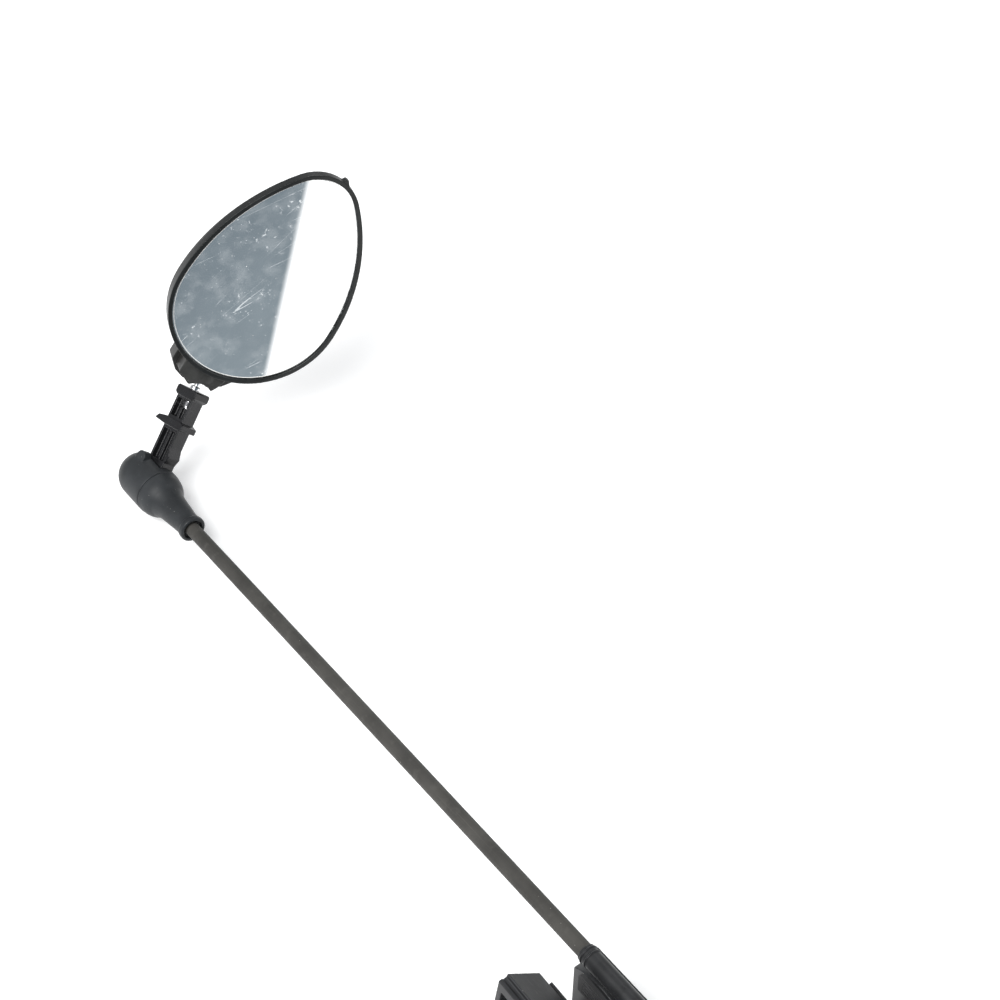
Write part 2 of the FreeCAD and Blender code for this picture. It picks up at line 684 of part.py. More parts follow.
def build_elbow():
    """The swivelling dome, slotted for the link, and the pin the link folds on."""
    big, dome, pin_at = S["elbow_radius"], S["dome_length"], S["fold_pin_offset"]
    stem = S["stem_diameter"] / 2
    gap = S["run_gap"]
    round_body = turned("cap_turned", [
        (gap, stem), (gap, big - 0.25), (0.3, big), (dome, big), (dome + big, 0, QUARTER),
        (-S["stem_length"], 0), (-S["stem_length"], stem - 0.3), (-S["stem_length"] + 0.3, stem)])
    play = S["slip_gap"]
    side = S["link_width"] / 2 + play
    slot_half = S["link_thick"] / 2 + play
    far = S["elbow_radius"] * 3
    straight = box("slot_ahead", (-slot_half, slot_half), (pin_at, far + pin_at), (-side, side))
    round_seat = rod("slot_seat", side * 2, -slot_half, slot_half, y=pin_at)
    sweep = box("slot_quarter", (-slot_half, slot_half), (pin_at, far + pin_at), (0, far))
    lean = math.tan(math.radians(SIZES["fold_lean"]))
    bent = slab("slot_bent", [(pin_at - side + 0.15, 0), (pin_at + side, 0), (pin_at + side + far * lean, far),
                              (pin_at - side + 0.15 + far * lean, far)], -slot_half, slot_half, "YZ")
    pin_radius = S["fold_pin_diameter"] / 2
    reach = big - 1.2
    pin_hole = rod("fold_pin_hole", pin_radius * 2, -reach, reach * 2, y=pin_at)
    pilot = rod("swivel_pilot", S["swivel_diameter"], -S["stem_length"] - 1, -0.8, along=ALONG_Y)
    ear = rod("cheek_ear", S["ear_diameter"], -S["ear_reach"], 0, y=dome - 0.3, z=S["ear_rise"])
    with_ear = fuse("cap_with_ear", round_body, ear)
    node(cut("elbow_cap_cut", with_ear, straight, round_seat, sweep, bent, pin_hole, pilot), "elbow_cap", ELBOW)
    pin = rod("fold_pin_blank", pin_radius * 2, -reach, reach, y=pin_at)
    node(pin, "fold_pin", ELBOW)


def build_link():
    """The folding link: a ribbed flat bar with an eye, a winged flange and a collar for the stud."""
    half, side = S["link_thick"] / 2, S["link_width"] / 2
    top, collar = S["link_length"], S["collar_thick"]
    under = top - collar
    eye_side = S["link_width"] / 2
    bar = box("link_bar", (-half, half), (-side, side), (0, top))
    eye = rod("link_eye", eye_side * 2, -half, half)
    flare = slab("link_flare", [(-side, 7.6), (side, 7.6), (side, 12.4), (-side, 12.4), (-side - 0.9, 9.8)],
                 -half, half, "YZ")
    collar_side = S["collar_width"] / 2
    head = slab("link_collar", [
        (-collar_side, under + 0.9), (-side, under), (side, under), (collar_side, under + 0.7),
        (collar_side, top - 0.5), (collar_side - 0.5, top), (-collar_side + 0.5, top), (-collar_side, top - 0.5)],
        -half - 0.5, half + 0.5, "YZ")
    middle, thick = S["flange_place"], S["flange_thick"] / 2
    wing, stub = S["flange_reach"], S["flange_stub"]
    flange = slab("link_flange", [
        (-stub, middle - 1.0), (-side, middle - thick - 0.4), (side, middle - thick - 0.4),
        (wing, middle - 0.8), (wing - 1.0, middle + 0.6), (side, middle + thick + 0.4),
        (-side, middle + thick + 0.4), (-stub, middle + 0.6)], -half - 0.6, half + 0.6, "YZ")
    tools = []
    rib, wall = S["rib_thick"] / 2, 0.8
    core = S["web_core"] / 2
    windows = ((S["elbow_radius"] + 0.9, middle - thick - 1.4), (middle + thick + 1.3, under - 0.7))
    for index, (low, high) in enumerate(windows):
        for face, sign in (("near", -1), ("far", 1)):
            deep = (core, half + 1) if sign > 0 else (-half - 1, -core)
            shallow = (half - 0.9, half + 1) if sign > 0 else (-half - 1, -half + 0.9)
            tools.append(box(f"pocket_{index}_{face}_deep", deep, (rib - 0.6, side - wall), (low, high)))
            tools.append(box(f"pocket_{index}_{face}_shallow", shallow, (-side + wall, -rib - 0.6), (low, high)))
    stud = S["stud_diameter"]
    nut_low = windows[1][1] - S["stud_nut_thick"] - 1.0
    nut_half = S["stud_nut_width"] / 2 + 0.25
    tools.append(box("stud_nut_window", (-half - 1, half + 1), (-nut_half, nut_half),
                     (nut_low, nut_low + S["stud_nut_thick"] + 1.0)))
    tools.append(rod("stud_hole", stud + S["run_gap"] * 2, nut_low - 0.2, top + 1, along=ALONG_Z))
    tools.append(rod("link_pin_hole", S["fold_pin_diameter"] + S["run_gap"] * 2, -half - 1, half + 1))
    body = fuse("link_solid", bar, eye, flare, head, flange)
    node(cut("link_frame_cut", body, *tools), "link_frame", LINK)

    reach, ball_radius = S["ball_reach"], S["ball_diameter"] / 2
    shoulder = top + 0.2
    stud_end = nut_low + 0.15
    neck = stud / 2
    shank = turned("stud_shank", [
        (stud_end, 0), (stud_end, neck), (shoulder, neck), (shoulder, neck + 0.7), (shoulder + 0.7, neck + 0.7),
        (shoulder + 1.0, neck - 0.1), (reach, neck - 0.1), (reach, 0)], along="z")
    node(fuse("ball_stud_fuse", shank, ball("stud_ball", ball_radius, z=reach)), "ball_stud", LINK)
    nut_top = nut_low + S["stud_nut_thick"] + 0.7
    nut = turned("stud_nut_body", [
        (nut_low + 0.7, neck), (nut_top, neck), (nut_top, S["stud_nut_width"] / 2),
        (nut_low + 0.7, S["stud_nut_width"] / 2)], along="z")
    node(nut, "stud_nut", LINK)


# ---------------------------------------------------------------- head

def build_head():
    """The mirror head: glass, film, foam, bezel, shell, and the split socket round the ball."""
    stud_way = HEAD.Rotation.inverted().multVec(LINK.Rotation.multVec(V(0, 0, -1)))
    ball_radius = S["ball_diameter"] / 2

    def mouth(name, angle):
        """A cone from the ball's centre, wide enough for the stud to tilt in."""
        length = 20
        cone = DOC.addObject("Part::Cone", name)
        bind(cone, Radius1=0.01, Radius2=length * math.tan(math.radians(angle)), Height=length)
        cone.Placement = FreeCAD.Placement(V(0, 0, 0), FreeCAD.Rotation(V(0, 0, 1), stud_way))
        return cone

    def cap_outline(shrink):
        """The socket cap's outline: wide ears for the screws, its lower corners cut off."""
        wide_half, top = S["cap_width"] / 2 - shrink, S["cap_top"] - shrink
        foot = -S["housing_foot"] + shrink
        return [(-wide_half, top - 2, -QUARTER), (-wide_half, foot + 4.8), (-wide_half + 2.5, foot + 1.9),
                (-wide_half + 6.4, foot), (wide_half - 6.4, foot), (wide_half - 2.5, foot + 1.9),
                (wide_half, foot + 4.8), (wide_half, top - 2), (wide_half - 2, top, -QUARTER),
                (-wide_half + 2, top)]

    race_radius = ball_radius + S["race_wall"]
    housing_radius = race_radius + S["housing_wall"]
    race = cut("race_cut", ball("race_ball", race_radius), ball("race_hollow", ball_radius + S["run_gap"]),
               mouth("race_mouth_cone", SIZES["race_mouth"]))
    node(race, "ball_race", HEAD)

    face = -S["socket_behind"]
    glass_back = face + S["glass_thick"]
    film_back = glass_back + S["film_thick"]
    shell_back = film_back + S["shell_depth"]
    foam_back = shell_back - S["shell_wall"]
    node(egg("lens_plate", 0, face, glass_back), "mirror_lens", HEAD)
    node(egg("film_plate", 0, glass_back, film_back), "mirror_film", HEAD)
    foam_sizes = (S["foam_length"], S["foam_width"], S["foam_width"] * 0.4)
    node(egg_plate("foam_plate", foam_sizes, S["foam_rise"], film_back, foam_back), "foam_pad", HEAD)

    wide = S["bezel_width"]
    bezel_face = face - S["bezel_front"]
    bezel_back = film_back
    ring = egg("bezel_plate", wide, bezel_face, bezel_back)
    tip_z = S["socket_below"] + S["glass_length"] / 2 + wide
    tab = slab("tip_tab", [(0.6, tip_z - 1.4), (5.2, tip_z - 1.9), (3.2, tip_z + 0.8), (2.3, tip_z + 0.9)],
               bezel_face + 0.4, bezel_back - 0.6, "XZ")
    inside = egg("bezel_inside", 0.05, face - 0.05, bezel_back + 1)
    window = egg("bezel_window", -S["bezel_lip"], bezel_face - 1, face + 1)
    node(cut("mirror_bezel_cut", fuse("bezel_solid", ring, tab), inside, window), "mirror_bezel", HEAD)

    deep, wall, seat = S["shell_depth"], S["shell_wall"], S["seat_width"]
    shell_front = film_back
    shape = [(0.0, wide, 0.0), (0.2, wide - 0.4, 3.0), (0.415, wide - 1.8, 9.0), (0.634, wide - 4.4, 13.5),
             (0.83, wide - 8.0, 15.5), (1.0, wide - 12.6, 16.5)]
    outside = egg_dome("shell_outside", [(shell_front + deep * share, grow, drawn) for share, grow, drawn in shape])
    inner_deep = deep - wall
    inside = egg_dome("shell_inside", [(shell_front - 0.5, wide, 0.0)] + [
        (shell_front + inner_deep * share, grow, drawn) for share, grow, drawn in shape[1:]], wide + seat)
    cup = cut("shell_cup", outside, inside)
    housing = ball("housing_ball", housing_radius)
    bridge = rod("housing_bridge", housing_radius * 1.7, -1, 9, y=0.3, along=ALONG_Z)
    foot = -housing_radius + 0.7
    front = slab("housing_front", [(-8.8, 6), (-8.8, foot + 3.8), (-4.8, foot + 1.2), (-1.8, foot), (2.2, foot),
                                   (4.2, foot + 3), (5.2, foot + 5.6), (5.2, 6)],
                 shell_front + 0.4, 1, "XZ")
    solid = fuse("shell_solid", cup, housing, bridge, front)
    way = S["slip_gap"] / 6
    front_clear = egg("bezel_clear", wide + 3, bezel_face - 6, shell_front)
    cap_back = S["cap_depth"]
    envelope = slab("cap_envelope", cap_outline(0), way, cap_back + 6, "XZ")
    hollow = ball("socket_hollow", race_radius + S["run_gap"])
    open_cone = mouth("socket_mouth_cone", SIZES["socket_mouth"])
    spread, rise, screw = S["cap_screw_spread"], S["cap_screw_rise"], S["cap_screw_diameter"]
    pilots = [rod(f"pilot_{side}", screw, -2.6, 8, x=spread * side, z=rise, along=ALONG_Y) for side in (-1, 1)]
    posts = [rod(f"post_{side}", screw * 2.4, shell_front, 0.5, x=spread * side, z=rise, along=ALONG_Y)
             for side in (-1, 1)]
    with_posts = fuse("shell_with_posts", solid, *posts)
    node(cut("mirror_shell_cut", with_posts, front_clear, envelope, hollow, open_cone, *pilots),
         "mirror_shell", HEAD)

    cap_block = slab("cap_block", cap_outline(0.1), way * 2, cap_back, "XZ")
    holes = [rod(f"cap_hole_{side}", screw, -3, 9, x=spread * side, z=rise, along=ALONG_Y) for side in (-1, 1)]
    sinks = [rod(f"cap_sink_{side}", screw * 2, cap_back - 1.2, 9, x=spread * side, z=rise, along=ALONG_Y)
             for side in (-1, 1)]
    rear_hollow = ball("cap_hollow", race_radius + S["run_gap"])
    rear_cone = mouth("cap_mouth_cone", SIZES["socket_mouth"])
    node(cut("socket_cap_cut", cap_block, rear_hollow, rear_cone, *holes, *sinks), "socket_cap", HEAD)

    screws = []
    for side in (-1, 1):
        name = "left" if side < 0 else "right"
        screws.append(rod(f"cap_screw_{name}", screw, -2.5, cap_back - 1.0, x=spread * side, z=rise, along=ALONG_Y))
    heads = []
    for side, shank in zip((-1, 1), screws):
        name = "left" if side < 0 else "right"
        head = rod(f"cap_head_{name}", screw * 1.9, cap_back - 1.2, cap_back, x=spread * side, z=rise, along=ALONG_Y)
        drive = box(f"cap_drive_{name}", (spread * side - 0.25, spread * side + 0.25), (cap_back - 0.6, cap_back + 1),
                    (rise - 1.4, rise + 1.4))
        heads.append(cut(f"cap_screw_{name}_cut", fuse(f"cap_screw_{name}_solid", shank, head), drive))
    pair = DOC.addObject("Part::Compound", "socket_screws_pair")
    pair.Links = heads
    node(pair, "socket_screws", HEAD)


def check_and_write():
    """Refuse a failed object or an unsound shape, then write one STEP file for each sub-part."""
    DOC.recompute()
    for thing in DOC.Objects:
        bad = [word for word in thing.State if word in ("Invalid", "Error")]
        if bad:
            raise RuntimeError(f"{thing.Name} is {bad}")
    for thing in NODES:
        if thing.Shape.isNull() or not thing.Shape.isValid() or not thing.Shape.Solids:
            raise RuntimeError(f"{thing.Label} has no sound solid")
    os.makedirs("parts", exist_ok=True)
    for thing in NODES:
        thing.Shape.exportStep(os.path.join("parts", thing.Label + ".step"))
        box_now = thing.Shape.BoundBox
        print(f"{thing.Label:16} solids {len(thing.Shape.Solids)} volume {thing.Shape.Volume:9.2f} "
              f"x {box_now.XMin:.1f} {box_now.XMax:.1f} y {box_now.YMin:.1f} {box_now.YMax:.1f} "
              f"z {box_now.ZMin:.1f} {box_now.ZMax:.1f}")


build_clip()
build_jaw()
build_arm()
build_elbow()
build_link()
build_head()
check_and_write()
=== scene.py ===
"""Looks of a helmet mirror on a clip: softened mouldings, finishes, small detail, studio and camera.

Sizes are in metres, in the part's own frame: +X from the outer jaw to the fixed jaw, +Y forward along
the arm, +Z up out of the clip's mouth.
"""

import json
import logging
import math
from dataclasses import dataclass
from enum import Enum
from typing import Any, Union

import bmesh
import bpy
from mathutils import Matrix, Vector


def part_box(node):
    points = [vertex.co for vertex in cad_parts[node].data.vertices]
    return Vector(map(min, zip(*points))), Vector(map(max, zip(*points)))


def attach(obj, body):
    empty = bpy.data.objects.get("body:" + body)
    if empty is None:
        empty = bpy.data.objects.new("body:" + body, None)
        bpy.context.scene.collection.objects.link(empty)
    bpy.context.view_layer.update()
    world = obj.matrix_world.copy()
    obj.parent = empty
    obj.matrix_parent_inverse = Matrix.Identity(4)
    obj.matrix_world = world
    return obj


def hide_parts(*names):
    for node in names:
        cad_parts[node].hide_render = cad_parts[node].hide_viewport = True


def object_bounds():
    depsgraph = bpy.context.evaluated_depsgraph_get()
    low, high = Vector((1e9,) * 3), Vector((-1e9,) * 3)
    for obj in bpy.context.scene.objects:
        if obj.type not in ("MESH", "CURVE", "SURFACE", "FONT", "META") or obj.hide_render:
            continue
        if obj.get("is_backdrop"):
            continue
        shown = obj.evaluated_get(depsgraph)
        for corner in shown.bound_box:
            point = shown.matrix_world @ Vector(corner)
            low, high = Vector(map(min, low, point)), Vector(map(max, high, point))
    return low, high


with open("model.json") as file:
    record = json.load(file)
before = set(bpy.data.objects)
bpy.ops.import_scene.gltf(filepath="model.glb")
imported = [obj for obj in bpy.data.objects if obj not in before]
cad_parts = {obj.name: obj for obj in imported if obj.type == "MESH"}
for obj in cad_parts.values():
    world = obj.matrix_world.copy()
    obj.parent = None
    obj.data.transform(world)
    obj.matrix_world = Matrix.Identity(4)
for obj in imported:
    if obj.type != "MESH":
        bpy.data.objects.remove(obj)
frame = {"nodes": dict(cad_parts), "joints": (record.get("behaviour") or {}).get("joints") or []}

LOG = logging.getLogger("helmet_mirror")
MM = 0.001
Amount = Union["Wire", float, int, tuple]
Colour = tuple[float, float, float]


class Slot(Enum):
    """The finishes that the record names."""

    BLACK_NYLON = "black_nylon"
    BLACK_RUBBER = "black_rubber"
    ROD_RUBBER = "rod_rubber"
    ELBOW_SOFT = "elbow_soft"
    LINK_ACETAL = "link_acetal"
    SHELL_ABS = "shell_abs"
    BEZEL_ABS = "bezel_abs"
    BRIGHT_STEEL = "bright_steel"
    SPRING_STEEL = "spring_steel"
    NUT_BRASS = "nut_brass"
    RACE_ACETAL = "race_acetal"
    CLEAR_ACRYLIC = "clear_acrylic"
    SILVER_FILM = "silver_film"
    FOAM_WHITE = "foam_white"


class Entry(Enum):
    """The kinds of named input that a geometry recipe asks for."""

    LENGTH = "NodeSocketFloat"
    COUNT = "NodeSocketInt"
    SHAPE = "NodeSocketGeometry"
    FINISH = "NodeSocketMaterial"


# ---------------------------------------------------------------- shader graphs

class Wire:
    """An output socket of a shader graph that takes part in arithmetic."""

    def __init__(self, paint: "Paint", socket: bpy.types.NodeSocket) -> None:
        """Keep the socket and the graph that it belongs to."""
        self.paint = paint
        self.socket = socket

    def _math(self, operation: str, first: Amount, second: Amount) -> "Wire":
        """Add one Math node."""
        return self.paint.add("ShaderNodeMath", {"operation": operation}, {0: first, 1: second})

    def __add__(self, other: Amount) -> "Wire":
        """Sum."""
        return self._math("ADD", self, other)

    def __radd__(self, other: Amount) -> "Wire":
        """Sum, with the wire on the right."""
        return self._math("ADD", other, self)

    def __sub__(self, other: Amount) -> "Wire":
        """Difference."""
        return self._math("SUBTRACT", self, other)

    def __rsub__(self, other: Amount) -> "Wire":
        """Difference, with the wire on the right."""
        return self._math("SUBTRACT", other, self)

    def __mul__(self, other: Amount) -> "Wire":
        """Product."""
        return self._math("MULTIPLY", self, other)

    def __rmul__(self, other: Amount) -> "Wire":
        """Product, with the wire on the right."""
        return self._math("MULTIPLY", other, self)

    def __truediv__(self, other: Amount) -> "Wire":
        """Quotient."""
        return self._math("DIVIDE", self, other)

    def __gt__(self, other: Amount) -> "Wire":
        """One where the wire is the larger, otherwise nought."""
        return self._math("GREATER_THAN", self, other)

    def __abs__(self) -> "Wire":
        """Distance from nought."""
        return self._math("ABSOLUTE", self, 0.0)

    def at_most(self, other: Amount) -> "Wire":
        """The smaller of two amounts."""
        return self._math("MINIMUM", self, other)

    def folded(self, size: float) -> "Wire":
        """A triangle wave between nought and the size."""
        return self._math("PINGPONG", self, size)

    def angle_over(self, other: "Wire") -> "Wire":
        """The angle of the point (other, self) round nought."""
        return self._math("ARCTAN2", self, other)

    def band(self, low: float, high: float) -> "Wire":
        """A soft step: nought below low, one above high."""
        return self.paint.add("ShaderNodeMapRange", {"interpolation_type": "SMOOTHSTEP"},
                              {"Value": self, "From Min": low, "From Max": high})


class Paint:
    """One material's graph, built round its Principled shader."""

    def __init__(self, name: str) -> None:
        """Start a material with nothing but its shader.

        Args:
            name: The material's name.
        """
        self.material = bpy.data.materials.new(name)
        self.material.use_nodes = True
        self.tree = self.material.node_tree
        self.shader = self.tree.nodes["Principled BSDF"]

    def add(self, kind: str, settings: dict[str, Any] | None = None,
            sockets: dict[str | int, Amount] | None = None, output: str | int = 0) -> Wire:
        """Add any node.

        Args:
            kind: The node's type.
            settings: Its settings, set before its sockets.
            sockets: Values or wires for its inputs.
            output: Which of its outputs to return.

        Returns:
            The chosen output.
        """
        node = self.tree.nodes.new(kind)
        for name, value in (settings or {}).items():
            setattr(node, name, value)
        for key, value in (sockets or {}).items():
            self.feed(node.inputs[key], value)
        return Wire(self, node.outputs[output])

    def feed(self, socket: bpy.types.NodeSocket, value: Amount) -> None:
        """Link a wire to a socket, or set a plain value on it."""
        if isinstance(value, Wire):
            self.tree.links.new(value.socket, socket)
        else:
            socket.default_value = value

    def shade(self, sockets: dict[str, Amount]) -> bpy.types.Material:
        """Feed the Principled shader and return the finished material."""
        for name, value in sockets.items():
            self.feed(self.shader.inputs[name], value)
        return self.material

    def place(self, stretch: Colour = (1, 1, 1), turn: Colour = (0, 0, 0)) -> Wire:
        """The point's own place on the object, turned and stretched."""
        here = self.add("ShaderNodeTexCoord", output="Object")
        return self.add("ShaderNodeMapping", {}, {"Vector": here, "Scale": stretch, "Rotation": turn})

    def noise(self, at: Wire, grain: float, detail: float = 2.0) -> Wire:
        """Cloudy noise whose features are as large as the grain, from 0 to 1."""
        return self.add("ShaderNodeTexNoise", {}, {"Vector": at, "Scale": 1 / grain, "Detail": detail})

    def cells(self, at: Wire, grain: float) -> Wire:
        """Distance to the nearest of scattered points a grain apart, in grains."""
        return self.add("ShaderNodeTexVoronoi", {}, {"Vector": at, "Scale": 1 / grain}, "Distance")

    def along(self, at: Wire, axis: Vector) -> Wire:
        """How far the point lies along an axis, in metres."""
        return self.add("ShaderNodeVectorMath", {"operation": "DOT_PRODUCT"},
                        {0: at, 1: tuple(axis)}, "Value")

    def blend(self, share: Amount, first: Amount, second: Amount) -> Wire:
        """A colour between two, by share."""
        sockets = {0: share, 6: _opaque(first), 7: _opaque(second)}
        return self.add("ShaderNodeMix", {"data_type": "RGBA"}, sockets, 2)

    def bump(self, height: Wire, depth: float) -> Wire:
        """Surface normal of a relief whose full height is the depth, in metres."""
        return self.add("ShaderNodeBump", {}, {"Height": height, "Distance": depth, "Strength": 1.0})


def _opaque(colour: Amount) -> Amount:
    """Give a plain colour its fourth number."""
    return (*colour, 1.0) if isinstance(colour, tuple) else colour


def _scaled(colour: Colour, by: float) -> Colour:
    """A lighter or darker version of a colour."""
    return tuple(min(1.0, part * by) for part in colour)


# ---------------------------------------------------------------- finishes

@dataclass(frozen=True)
class Moulded:
    """A moulded plastic: spark texture, slight mottling, handling marks and a little dust."""

    slot: Slot
    colour: Colour
    rough: float
    grain: float = 0.22 * MM
    relief: float = 0.010 * MM
    mottle: float = 0.35
    dust: float = 0.10
    coat: float = 0.0

    def paint(self) -> bpy.types.Material:
        """Build the finish.

        Returns:
            The finished material.
        """
        paint = Paint(self.slot.value)
        at = paint.place()
        grain = paint.noise(at, self.grain, 3)
        patch = paint.noise(at, 6 * MM, 4)
        rubbed = paint.noise(paint.place((1, 0.35, 1), (0.4, 0.9, 0.2)), 1.3 * MM, 6).band(0.56, 0.74)
        specks = (1 - paint.cells(at, 1.5 * MM).band(0.03, 0.09)) * paint.noise(at, 9 * MM).band(0.5, 0.64)
        worn = _scaled(self.colour, 1 + self.mottle * 1.6)
        tone = paint.blend(patch.band(0.32, 0.7), _scaled(self.colour, 1 - self.mottle * 0.45), worn)
        tone = paint.blend(rubbed * 0.35, tone, _scaled(self.colour, 1 + self.mottle * 2.4))
        tone = paint.blend(specks * self.dust * 4, tone, (0.55, 0.54, 0.5))
        gloss = self.rough + (patch - 0.5) * 0.18 - rubbed * 0.08 + specks * self.dust
        normal = paint.bump(grain + patch * 1.5 - rubbed * 0.4, self.relief)
        return paint.shade({"Base Color": tone, "Roughness": gloss, "Normal": normal,
                            "Coat Weight": self.coat, "Coat Roughness": 0.22, "Specular IOR Level": 0.25})


@dataclass(frozen=True)
class Rubber:
    """Rubber: fine pores, and for a drawn cover the faint lines of its extrusion, with lint and dust."""

    slot: Slot
    colour: Colour
    axis: Vector
    lines: float = 0.0
    rough: float = 0.78

    def paint(self) -> bpy.types.Material:
        """Build the finish.

        Returns:
            The finished material.
        """
        paint = Paint(self.slot.value)
        at = paint.place()
        round_at = paint.add("ShaderNodeVectorMath", {"operation": "SUBTRACT"}, {
            0: at, 1: paint.add("ShaderNodeVectorMath", {"operation": "SCALE"}, {
                0: tuple(self.axis), "Scale": paint.along(at, self.axis) * 0.985})})
        drawn = paint.noise(round_at, 0.35 * MM, 3)
        pores = paint.noise(at, 0.16 * MM, 4)
        patch = paint.noise(at, 11 * MM, 5)
        bloom = paint.noise(at, 2.4 * MM, 6).band(0.5, 0.72)
        lint = (1 - paint.cells(at, 2.6 * MM).band(0.02, 0.07)) * paint.noise(at, 14 * MM).band(0.46, 0.6)
        tone = paint.blend(patch.band(0.3, 0.72), _scaled(self.colour, 0.78), _scaled(self.colour, 1.28))
        tone = paint.blend(bloom * 0.4, tone, _scaled(self.colour, 1.7))
        tone = paint.blend(drawn.band(0.62, 0.8) * self.lines, tone, _scaled(self.colour, 1.9))
        tone = paint.blend(lint * 0.7, tone, (0.62, 0.6, 0.55))
        gloss = self.rough + (patch - 0.5) * 0.2 - drawn * self.lines * 0.2
        normal = paint.bump(pores + drawn * self.lines * 3 + patch, 0.012 * MM)
        return paint.shade({"Base Color": tone, "Roughness": gloss, "Normal": normal,
                            "Sheen Weight": 0.04, "Sheen Roughness": 0.5, "Specular IOR Level": 0.3})


@dataclass(frozen=True)
class Turned:
    """Turned or drawn metal: fine tool lines across an axis, stains, and a thread where it has one."""

    slot: Slot
    colour: Colour
    rough: float
    axis: Vector
    centre: Vector = Vector()
    pitch: float = 0.0
    thread_radius: float = 2.05 * MM

    def paint(self) -> bpy.types.Material:
        """Build the finish.

        Returns:
            The finished material.
        """
        paint = Paint(self.slot.value)
        at = paint.place()
        along = paint.along(at, self.axis)
        lines = paint.add("ShaderNodeTexNoise", {"noise_dimensions": "1D"}, {
            "W": along, "Scale": 1 / (0.09 * MM), "Detail": 3.0})
        stain = paint.noise(at, 2.2 * MM, 5)
        spots = paint.noise(at, 0.5 * MM, 4).band(0.66, 0.78)
        tone = paint.blend(stain.band(0.36, 0.7), _scaled(self.colour, 0.74), _scaled(self.colour, 1.12))
        tone = paint.blend(spots * 0.5, tone, _scaled(self.colour, 0.4))
        height = lines * 0.25 + stain * 0.2
        if self.pitch:
            height = height + self.thread(paint, at, along)
        gloss = self.rough + (lines - 0.5) * 0.16 + (stain - 0.5) * 0.2 + spots * 0.18
        return paint.shade({"Base Color": tone, "Roughness": gloss, "Metallic": 1.0,
                            "Normal": paint.bump(height, 0.02 * MM)})

    def thread(self, paint: Paint, at: Wire, along: Wire) -> Wire:
        """Height of a helical thread on the shank, in shares of the relief.

        Args:
            paint: The graph.
            at: The point's place.
            along: Its distance along the axis.

        Returns:
            The thread's height.
        """
        across = Vector((0, 1, 0))
        upward = self.axis.cross(across)
        side = paint.along(at, across) - across.dot(self.centre)
        rise = paint.along(at, upward) - upward.dot(self.centre)
        turn = rise.angle_over(side) / math.tau
        shank = 1 - ((side * side + rise * rise) > self.thread_radius ** 2)
        return (along / self.pitch + turn).folded(0.5) * shank * 16


@dataclass(frozen=True)
class ScratchedAcrylic:
    """Acrylic silvered on its back: its face shows the silver, under hairlines, smears and dust."""

    slot: Slot
    face_turn: Colour

    def hairs(self, paint: Paint, turn: float, grain: float, fine: float) -> Wire:
        """Thin, nearly straight lines at one angle across the glass.

        Args:
            paint: The graph.
            turn: The lines' angle, in radians.
            grain: How far apart they lie.
            fine: Half their width, in shares of the noise's range.

        Returns:
            A mask of the lines.
        """
        laid = paint.place((1, 1, 1), self.face_turn)
        turned = paint.add("ShaderNodeMapping", {}, {"Vector": laid, "Rotation": (0, turn, 0)})
        at = paint.add("ShaderNodeMapping", {}, {"Vector": turned, "Scale": (0.03, 1, 1)})
        line = 1 - abs(paint.noise(at, grain, 0.5) - 0.5).band(0.0, fine)
        gate = paint.noise(laid, 13 * MM, 2).band(0.5, 0.6)
        return line * gate

    def paint(self) -> bpy.types.Material:
        """Build the finish.

        Returns:
            The finished material.
        """
        paint = Paint(self.slot.value)
        at = paint.place()
        hairs = (self.hairs(paint, 0.42, 5.5 * MM, 0.004) + self.hairs(paint, 0.58, 8 * MM, 0.003)
                 + self.hairs(paint, 0.25, 9 * MM, 0.003)).at_most(1.0)
        smear = paint.noise(at, 5 * MM, 8).band(0.42, 0.8)
        fleck = paint.noise(at, 1.1 * MM, 6).band(0.6, 0.72) * paint.noise(at, 10 * MM, 3).band(0.46, 0.62)
        dust = (1 - paint.cells(at, 1.2 * MM).band(0.03, 0.10)) * paint.noise(at, 12 * MM).band(0.36, 0.55)
        cover = (0.015 + hairs * 0.45 + smear * 0.12 + fleck * 0.4 + dust * 0.75).at_most(0.9)
        tone = paint.blend(cover, (0.95, 0.96, 0.965), (0.80, 0.86, 0.88))
        return paint.shade({"Base Color": tone, "Metallic": 1 - cover, "Roughness": 0.012 + cover * 0.4,
                            "Specular IOR Level": 0.4})


@dataclass(frozen=True)
class SilverFilm:
    """Vacuum-silvered film: a clean mirror with the slightest waviness and tarnish."""

    slot: Slot

    def paint(self) -> bpy.types.Material:
        """Build the finish.

        Returns:
            The finished material.
        """
        paint = Paint(self.slot.value)
        at = paint.place()
        haze = paint.noise(at, 7 * MM, 6)
        tone = paint.blend(haze.band(0.35, 0.75), (0.95, 0.96, 0.965), (0.87, 0.895, 0.91))
        gloss = 0.012 + haze.band(0.55, 0.9) * 0.05
        return paint.shade({"Base Color": tone, "Metallic": 1.0, "Roughness": gloss})


@dataclass(frozen=True)
class Foam:
    """Closed-cell foam: bright cell walls round darker cells."""

    slot: Slot
    colour: Colour

    def paint(self) -> bpy.types.Material:
        """Build the finish.

        Returns:
            The finished material.
        """
        paint = Paint(self.slot.value)
        at = paint.place()
        cell = paint.cells(at, 0.45 * MM)
        patch = paint.noise(at, 5 * MM, 3)
        tone = paint.blend(cell.band(0.15, 0.6), _scaled(self.colour, 0.7), self.colour)
        tone = paint.blend(patch * 0.4, tone, _scaled(self.colour, 0.82))
        return paint.shade({"Base Color": tone, "Roughness": 0.85 + patch * 0.1,
                            "Normal": paint.bump(cell, 0.08 * MM)})


# ---------------------------------------------------------------- geometry recipes

